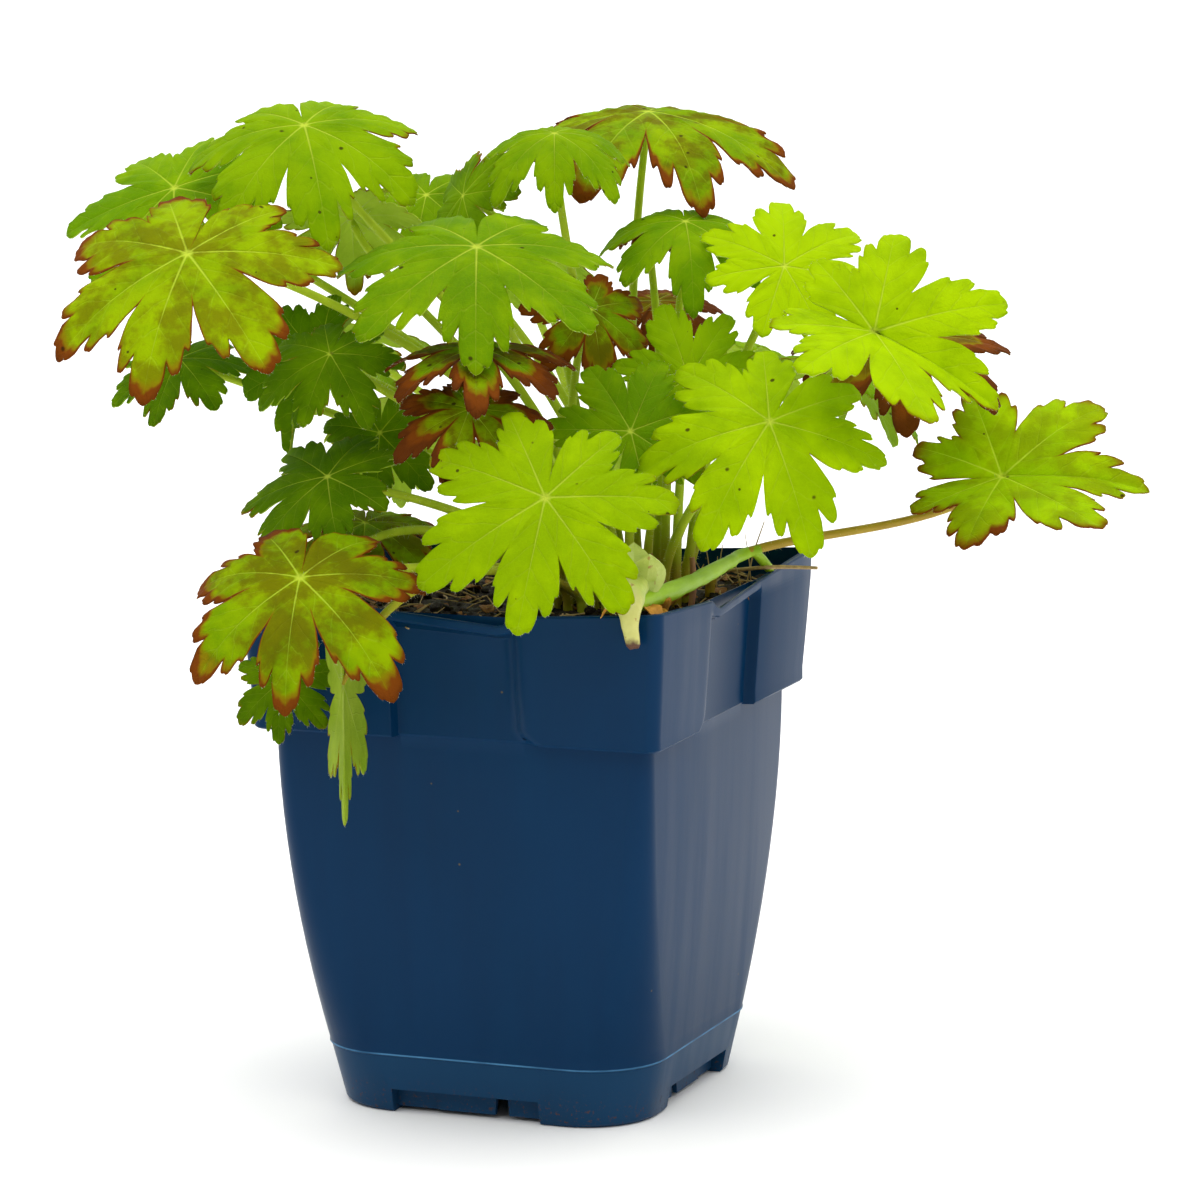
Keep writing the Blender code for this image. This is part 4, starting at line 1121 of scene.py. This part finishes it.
def hairs_of(leaf, places, root, draw):
    """Hairs along the blade's margin and all along the stalk."""
    rim = vertex_share == 1.0
    order = np.argsort(vertex_column[rim])
    edge = places[rim][order]
    inner_ring = vertex_ring == len(RINGS) - 2
    before = places[inner_ring][np.argsort(vertex_column[inner_ring])]
    pick = draw.randint(0, len(edge), HAIRS_ON_RIM)
    outward = edge[pick] - before[pick]
    outward /= np.linalg.norm(outward, axis=1, keepdims=True) + 1e-9
    outward += draw.normal(0, 0.45, outward.shape)
    rim_length = draw.uniform(0.0004, 0.0009, len(pick))
    points = np.array(stalk_controls(leaf, root))
    t = draw.uniform(0.02, 0.99, HAIRS_ON_STALK)[:, None]
    middle = (points[0] * (1 - t) ** 3 + points[1] * 3 * t * (1 - t) ** 2
              + points[2] * 3 * t * t * (1 - t) + points[3] * t ** 3)
    along = (3 * (1 - t) ** 2 * (points[1] - points[0]) + 6 * t * (1 - t) * (points[2] - points[1])
             + 3 * t * t * (points[3] - points[2]))
    along /= np.linalg.norm(along, axis=1, keepdims=True)
    first, second = tangent_frame(along)
    spin = draw.uniform(0, 2 * math.pi, len(t))[:, None]
    sideways = first * np.cos(spin) + second * np.sin(spin)
    stalk_base = middle + sideways * STALK * 0.8
    stalk_way = sideways + draw.normal(0, 0.2, sideways.shape)
    base = np.concatenate([edge[pick], stalk_base])
    way = np.concatenate([outward, stalk_way])
    length = np.concatenate([rim_length, draw.uniform(0.0008, 0.0019, len(t))])
    return grow_hairs(base, way, length)


HAIRS_ON_RIM = 330
HAIRS_ON_STALK = 300
MARGIN_START = 1.75
RUST = (0.24, 0.062, 0.006, 1)
YELLOWED = (0.30, 0.22, 0.004, 1)
DEAD_RIM = (0.15, 0.040, 0.006, 1)
BLOTCH_BROWN = (0.15, 0.085, 0.003, 1)
SPOT_BROWN = (0.045, 0.022, 0.005, 1)


def blade_finish(name, deep, fresh, edge_colour, band, browning, spots, through, pale=False):
    """A leaf's skin: mottled green, pale veins, rusty margins and small dark spots.

    band widens the rusty margin, browning strengthens the blotches, spots is the share of cells
    with a dark spot, through is the share of light that shines through, and pale is the underside.
    """
    finish, tree, shader = new_finish(name, 0.55, 0.02)
    lobe_place = add_node(tree, "UVMap", uv_map="lobe").outputs[0]
    lobe = add_node(tree, "SeparateXYZ", {0: lobe_place})
    along, across = lobe.outputs["X"], reckon(tree, "ABSOLUTE", lobe.outputs["Y"])
    wobble = times(tree, grain(tree, 110, 1.0), 0.06)
    width = spread_range(tree, along, 0.0, 0.8, 0.013, 0.004)
    main_vein = spread_range(tree, across, times(tree, width, 0.3), width, 1.0, 0.0)
    main_vein = times(tree, main_vein, spread_range(tree, along, 0.15, 0.85, 1.0, 0.30))
    branch = reckon(tree, "SUBTRACT", along, times(tree, across, VEIN_SLANT))
    branch = reckon(tree, "DIVIDE", plus(tree, branch, wobble), VEIN_STEP)
    side_vein = spread_range(tree, reckon(tree, "PINGPONG", branch, 0.5), 0.005, 0.060, 1.0, 0.0)
    side_vein = times(tree, side_vein, spread_range(tree, across, 0.0, 0.42, 1.0, 0.35))
    net_place = add_node(tree, "UVMap", uv_map="lobe").outputs[0]
    net_cells = add_node(tree, "TexVoronoi", {"Vector": net_place, "Scale": 30.0},
                         feature="DISTANCE_TO_EDGE", voronoi_dimensions="2D")
    net = spread_range(tree, net_cells.outputs["Distance"], 0.02, 0.16, 1.0, 0.0)
    hub = spread_range(tree, plus(tree, along, across), 0.02, 0.065, 1.0, 0.0)
    veins = reckon(tree, "MAXIMUM", times(tree, main_vein, 0.55), times(tree, side_vein, 0.10))
    veins = reckon(tree, "MAXIMUM", veins, times(tree, hub, 0.8))
    tone = add_node(tree, "Attribute", attribute_name="tone").outputs["Fac"]
    edge = add_node(tree, "Attribute", attribute_name="edge").outputs["Fac"]
    mottle = times(tree, grain(tree, 75, 5.0, rough=0.6), 0.85)
    mottle = plus(tree, mottle, times(tree, tone, 0.3))
    skin = blend_colours(tree, spread_range(tree, mottle, 0.36, 0.80), deep, fresh)
    skin = blend_colours(tree, times(tree, net, 0.14), skin, fresh)
    vein_colour = (0.72, 0.82, 0.09, 1) if not pale else (0.55, 0.64, 0.16, 1)
    skin = blend_colours(tree, veins, skin, vein_colour)
    wear = add_node(tree, "Attribute", attribute_name="wear").outputs["Fac"]
    blotch = plus(tree, grain(tree, 85, 6.0, rough=0.65), times(tree, veins, -0.25))
    blotch = spread_range(tree, blotch, 0.40, 0.60)
    blotch = times(tree, blotch, plus(tree, times(tree, wear, 0.9), browning))
    blotch = reckon(tree, "MINIMUM", blotch, 0.85)
    skin = blend_colours(tree, blotch, skin, BLOTCH_BROWN)
    worn = plus(tree, edge, times(tree, grain(tree, 42, 4.0), 1.2))
    worn = plus(tree, worn, times(tree, grain(tree, 220, 3.0), 0.3))
    worn = plus(tree, reckon(tree, "SUBTRACT", worn, times(tree, veins, 0.15)), wear)
    start = MARGIN_START - band
    for first, last, colour in ((-0.16, 0.04, YELLOWED), (0.0, 0.14, edge_colour),
                                (0.24, 0.50, DEAD_RIM)):
        margin = spread_range(tree, worn, start + first, start + last)
        skin = blend_colours(tree, margin, skin, colour)
    place = add_node(tree, "TexCoord").outputs["Object"]
    dots = add_node(tree, "TexVoronoi", {"Vector": place, "Scale": 210.0})
    dot_size = add_node(tree, "SeparateXYZ", {0: dots.outputs["Color"]})
    rare = reckon(tree, "GREATER_THAN", dot_size.outputs["X"], 1 - spots)
    small = times(tree, dot_size.outputs["Y"], 0.22)
    dot = spread_range(tree, dots.outputs["Distance"], small, times(tree, small, 0.5))
    dot = times(tree, rare, dot)
    skin = blend_colours(tree, times(tree, dot, 0.85), skin, SPOT_BROWN)
    paint(tree, shader, skin)
    rough = plus(tree, mottle, times(tree, veins, 0.3))
    rough = spread_range(tree, rough, 0.2, 1.2, 0.45, 0.68)
    tree.links.new(rough, shader.inputs["Roughness"])
    raised = 1.0 if pale else -1.0
    rise = reckon(tree, "MAXIMUM", main_vein, times(tree, side_vein, 0.7))
    rise = times(tree, rise, raised)
    rise = plus(tree, rise, times(tree, net, 0.25 * raised))
    rise = plus(tree, rise, times(tree, grain(tree, 1500, 3.0), 0.25))
    relief(tree, shader, rise, 0.00034, 0.75)
    glow = blend_colours(tree, 1.0, skin, (1.35, 1.30, 0.8, 1), "MULTIPLY")
    thin = add_node(tree, "BsdfTranslucent", {"Color": glow})
    mixed = add_node(tree, "MixShader", {0: through, 1: shader.outputs[0], 2: thin.outputs[0]})
    tree.links.new(mixed.outputs[0], tree.nodes["Material Output"].inputs["Surface"])
    return finish


# The bright, mid and dark kinds differ partly in the leaves' own green and partly by painted light:
# bright has painted backlight in its colours, dark has painted shade, and mid lies between.
blades = {
    "bright": blade_finish("leaf_bright", (0.33, 0.51, 0.001, 1), (0.49, 0.68, 0.001, 1), RUST,
                           band=-0.25, browning=0.0, spots=0.24, through=0.45),
    "mid": blade_finish("leaf_mid", (0.15, 0.31, 0.001, 1), (0.30, 0.47, 0.001, 1), RUST,
                        band=-0.20, browning=0.02, spots=0.24, through=0.40),
    "dark": blade_finish("leaf_dark", (0.085, 0.19, 0.001, 1), (0.21, 0.36, 0.001, 1), RUST,
                         band=-0.20, browning=0.0, spots=0.08, through=0.40),
    "red": blade_finish("leaf_red_edged", (0.18, 0.33, 0.001, 1), (0.36, 0.50, 0.001, 1), RUST,
                        band=0.17, browning=0.55, spots=0.30, through=0.40),
    "dead": blade_finish("leaf_brown", (0.14, 0.10, 0.003, 1), (0.26, 0.15, 0.003, 1),
                         (0.23, 0.06, 0.006, 1), band=0.60, browning=0.6, spots=0.3, through=0.35),
}
underside = blade_finish("leaf_underside", (0.34, 0.50, 0.025, 1), (0.54, 0.68, 0.070, 1), RUST,
                         band=-0.10, browning=0.0, spots=0.08, through=0.40, pale=True)
WEAR = {"leaf_left_red": 0.02, "leaf_low_red": 0.12, "leaf_centre_red": 0.42,
        "leaf_centre_under": 0.36, "leaf_centre_olive": 0.24, "leaf_lower_olive": 0.08,
        "leaf_top_right": 0.16, "leaf_far_right": 0.30, "leaf_right_brown": 0.20,
        "leaf_right_shade": 0.30, "leaf_top_dead": 0.35}
RUDDY_LEAVES = ("leaf_far_right", "leaf_lower_olive")
green_stalk, tree, shader = new_finish("green_stalk", 0.5, 0.12)
height = own_place(tree, "Z")
ruddy = spread_range(tree, height, 0.175, 0.148)
ruddy = times(tree, ruddy, grain(tree, 120, 2.0))
fibrous = grain(tree, 260, 4.0, (1, 1, 0.4))
flesh = blend_colours(tree, fibrous, (0.26, 0.38, 0.01, 1), (0.52, 0.64, 0.03, 1))
flesh = blend_colours(tree, ruddy, flesh, (0.30, 0.09, 0.02, 1))
paint(tree, shader, flesh)
relief(tree, shader, grain(tree, 700, 3.0, (1, 1, 0.15)), 0.0002)
ruddy_stalk, tree, shader = new_finish("ruddy_stalk", 0.5, 0.35)
flesh = blend_colours(tree, grain(tree, 130, 4.0), (0.30, 0.17, 0.01, 1), (0.50, 0.36, 0.02, 1))
paint(tree, shader, flesh)
relief(tree, shader, grain(tree, 700, 3.0), 0.0002)
down, tree, shader = new_finish("pale_hair", 0.5, 0.3)
fuzz = blend_colours(tree, grain(tree, 90, 2.0), (0.55, 0.60, 0.28, 1), (0.85, 0.88, 0.60, 1))
paint(tree, shader, fuzz)

for number, leaf in enumerate(LEAVES):
    draw = np.random.RandomState(100 + number)
    root = root_of(leaf)
    blade = flat_blade.copy()
    blade.data = flat_blade.data.copy()
    bpy.context.scene.collection.objects.link(blade)
    blade.name = leaf.name
    places, near_edge = bend_blade(leaf, draw)
    blade.data.vertices.foreach_set("co", places.ravel())
    for name, values in (("edge", near_edge), ("tone", np.full(len(places), draw.uniform(0, 1))),
                         ("wear", np.full(len(places), WEAR.get(leaf.name, 0.0)))):
        blade.data.attributes.new(name, "FLOAT", "POINT").data.foreach_set("value", values)
    select_only(blade)
    bpy.ops.object.mode_set(mode="EDIT")
    bpy.ops.mesh.select_all(action="SELECT")
    bpy.ops.mesh.remove_doubles(threshold=0.000004)
    bpy.ops.mesh.flip_normals()
    bpy.ops.object.mode_set(mode="OBJECT")
    blade.data.materials.append(blades[leaf.colour])
    blade.data.materials.append(underside)
    solid = blade.modifiers.new("thick", "SOLIDIFY")
    solid.thickness = BLADE
    solid.offset = 0.0
    solid.material_offset = 1
    solid.material_offset_rim = 1 if leaf.colour in ("bright", "mid", "dark") else 0
    bpy.ops.object.modifier_apply(modifier="thick")
    bpy.ops.object.shade_smooth()
    stalk = make_stalk(leaf, root)
    stalk.data.materials.clear()
    stalk.data.materials.append(ruddy_stalk if leaf.name in RUDDY_LEAVES else green_stalk)
    select_only(stalk)
    bpy.ops.object.shade_smooth()
    hairs = hairs_of(leaf, places, root, draw)
    hairs.data.materials.append(down)
    piece = one_piece(leaf.name + "_grown", [blade, stalk, hairs])
    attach(piece, "root")
    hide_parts(leaf.name)

# The dead leaf: a small brown leaf that has dried up and crumpled beside the crown, where it lies
# loose among the stalks.
scrap_leaf = Leaf("dead_scrap", 36, 157, 40, 14, 40, 70, 20, 120, 62, "dead")
draw = np.random.RandomState(7)
scrap = flat_blade.copy()
scrap.data = flat_blade.data.copy()
bpy.context.scene.collection.objects.link(scrap)
scrap.name = "dead_leaf"
places, _ = bend_blade(scrap_leaf, draw)
noise.seed_set(7)
for index, place in enumerate(places):
    here = Vector(place)
    away = noise.noise_vector(here * 260) * 0.0030 + noise.noise_vector(here * 95) * 0.0042
    places[index] = np.array(here + away)
places[vertex_share == 0.0] = places[vertex_share == 0.0].mean(axis=0)
scrap.data.vertices.foreach_set("co", places.ravel())
select_only(scrap)
bpy.ops.object.mode_set(mode="EDIT")
bpy.ops.mesh.select_all(action="SELECT")
bpy.ops.mesh.remove_doubles(threshold=0.0000002)
bpy.ops.object.mode_set(mode="OBJECT")
thick = scrap.modifiers.new("thick", "SOLIDIFY")
thick.thickness = 0.0003
bpy.ops.object.modifier_apply(modifier="thick")
bpy.ops.object.shade_smooth()
scrap.data.materials.append(woody)
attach(scrap, "root")
bpy.data.objects.remove(flat_blade, do_unlink=True)

# The thick green shoot: a fresh round stem that grows out of the side shoot's sheath inside the
# front rim. It rises to the reddish stalk on the right, with a short withered twig at the joint.
SHOOT_FOOT = (56.0, -60.5, 156.2)
SHOOT_STEPS = ((0.0, 0.0, 2.4), (0.25, 0.8, 2.7), (0.55, 1.2, 2.3), (0.85, 0.5, 1.9))
TWIG_STEPS = ((0, 0, 0, 1.5), (1, 8, -1, 1.1), (3, 14, -6, 1.6), (4, 17, -9, 0.3))
JOINT_SHARE = 0.24
far_right = next(leaf for leaf in LEAVES if leaf.name == "leaf_far_right")
foot, first, last, hub = stalk_controls(far_right, root_of(far_right))
rest = 1 - JOINT_SHARE
joint = (foot * rest ** 3 + first * 3 * JOINT_SHARE * rest ** 2
         + last * 3 * JOINT_SHARE ** 2 * rest + hub * JOINT_SHARE ** 3) * 1000
onward = (hub * 1000 - joint).normalized() * 6
route = [(*Vector(SHOOT_FOOT).lerp(joint, share) + Vector((bend, 0, -bend * 0.6)), girth)
         for share, bend, girth in SHOOT_STEPS]
route += [(*joint + onward * 0.2, 1.8), (*joint + onward, 1.3)]
rising = stem("rising_shoot", route, 5, 12)
route = [(joint.x + x, joint.y + y, joint.z + z, girth) for x, y, z, girth in TWIG_STEPS]
twig = stem("twig", route, 3, 8)
for thing in (rising, twig):
    for vertex in thing.data.vertices:
        vertex.co += vertex.normal * noise.noise(vertex.co * 160) * 0.0005
rising = one_piece("green_shoot", [rising, twig])
lush, tree, shader = new_finish("lush_shoot", 0.45, 0.2)
streaks = grain(tree, 210, 4.0, (1, 0.4, 1))
fresh = blend_colours(tree, streaks, (0.17, 0.33, 0.004, 1), (0.36, 0.55, 0.020, 1))
paint(tree, shader, fresh)
relief(tree, shader, grain(tree, 700, 3.0, (1, 0.2, 1)), 0.0003)
rising.data.materials.append(lush)
select_only(rising)
bpy.ops.object.shade_smooth()
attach(rising, "root")
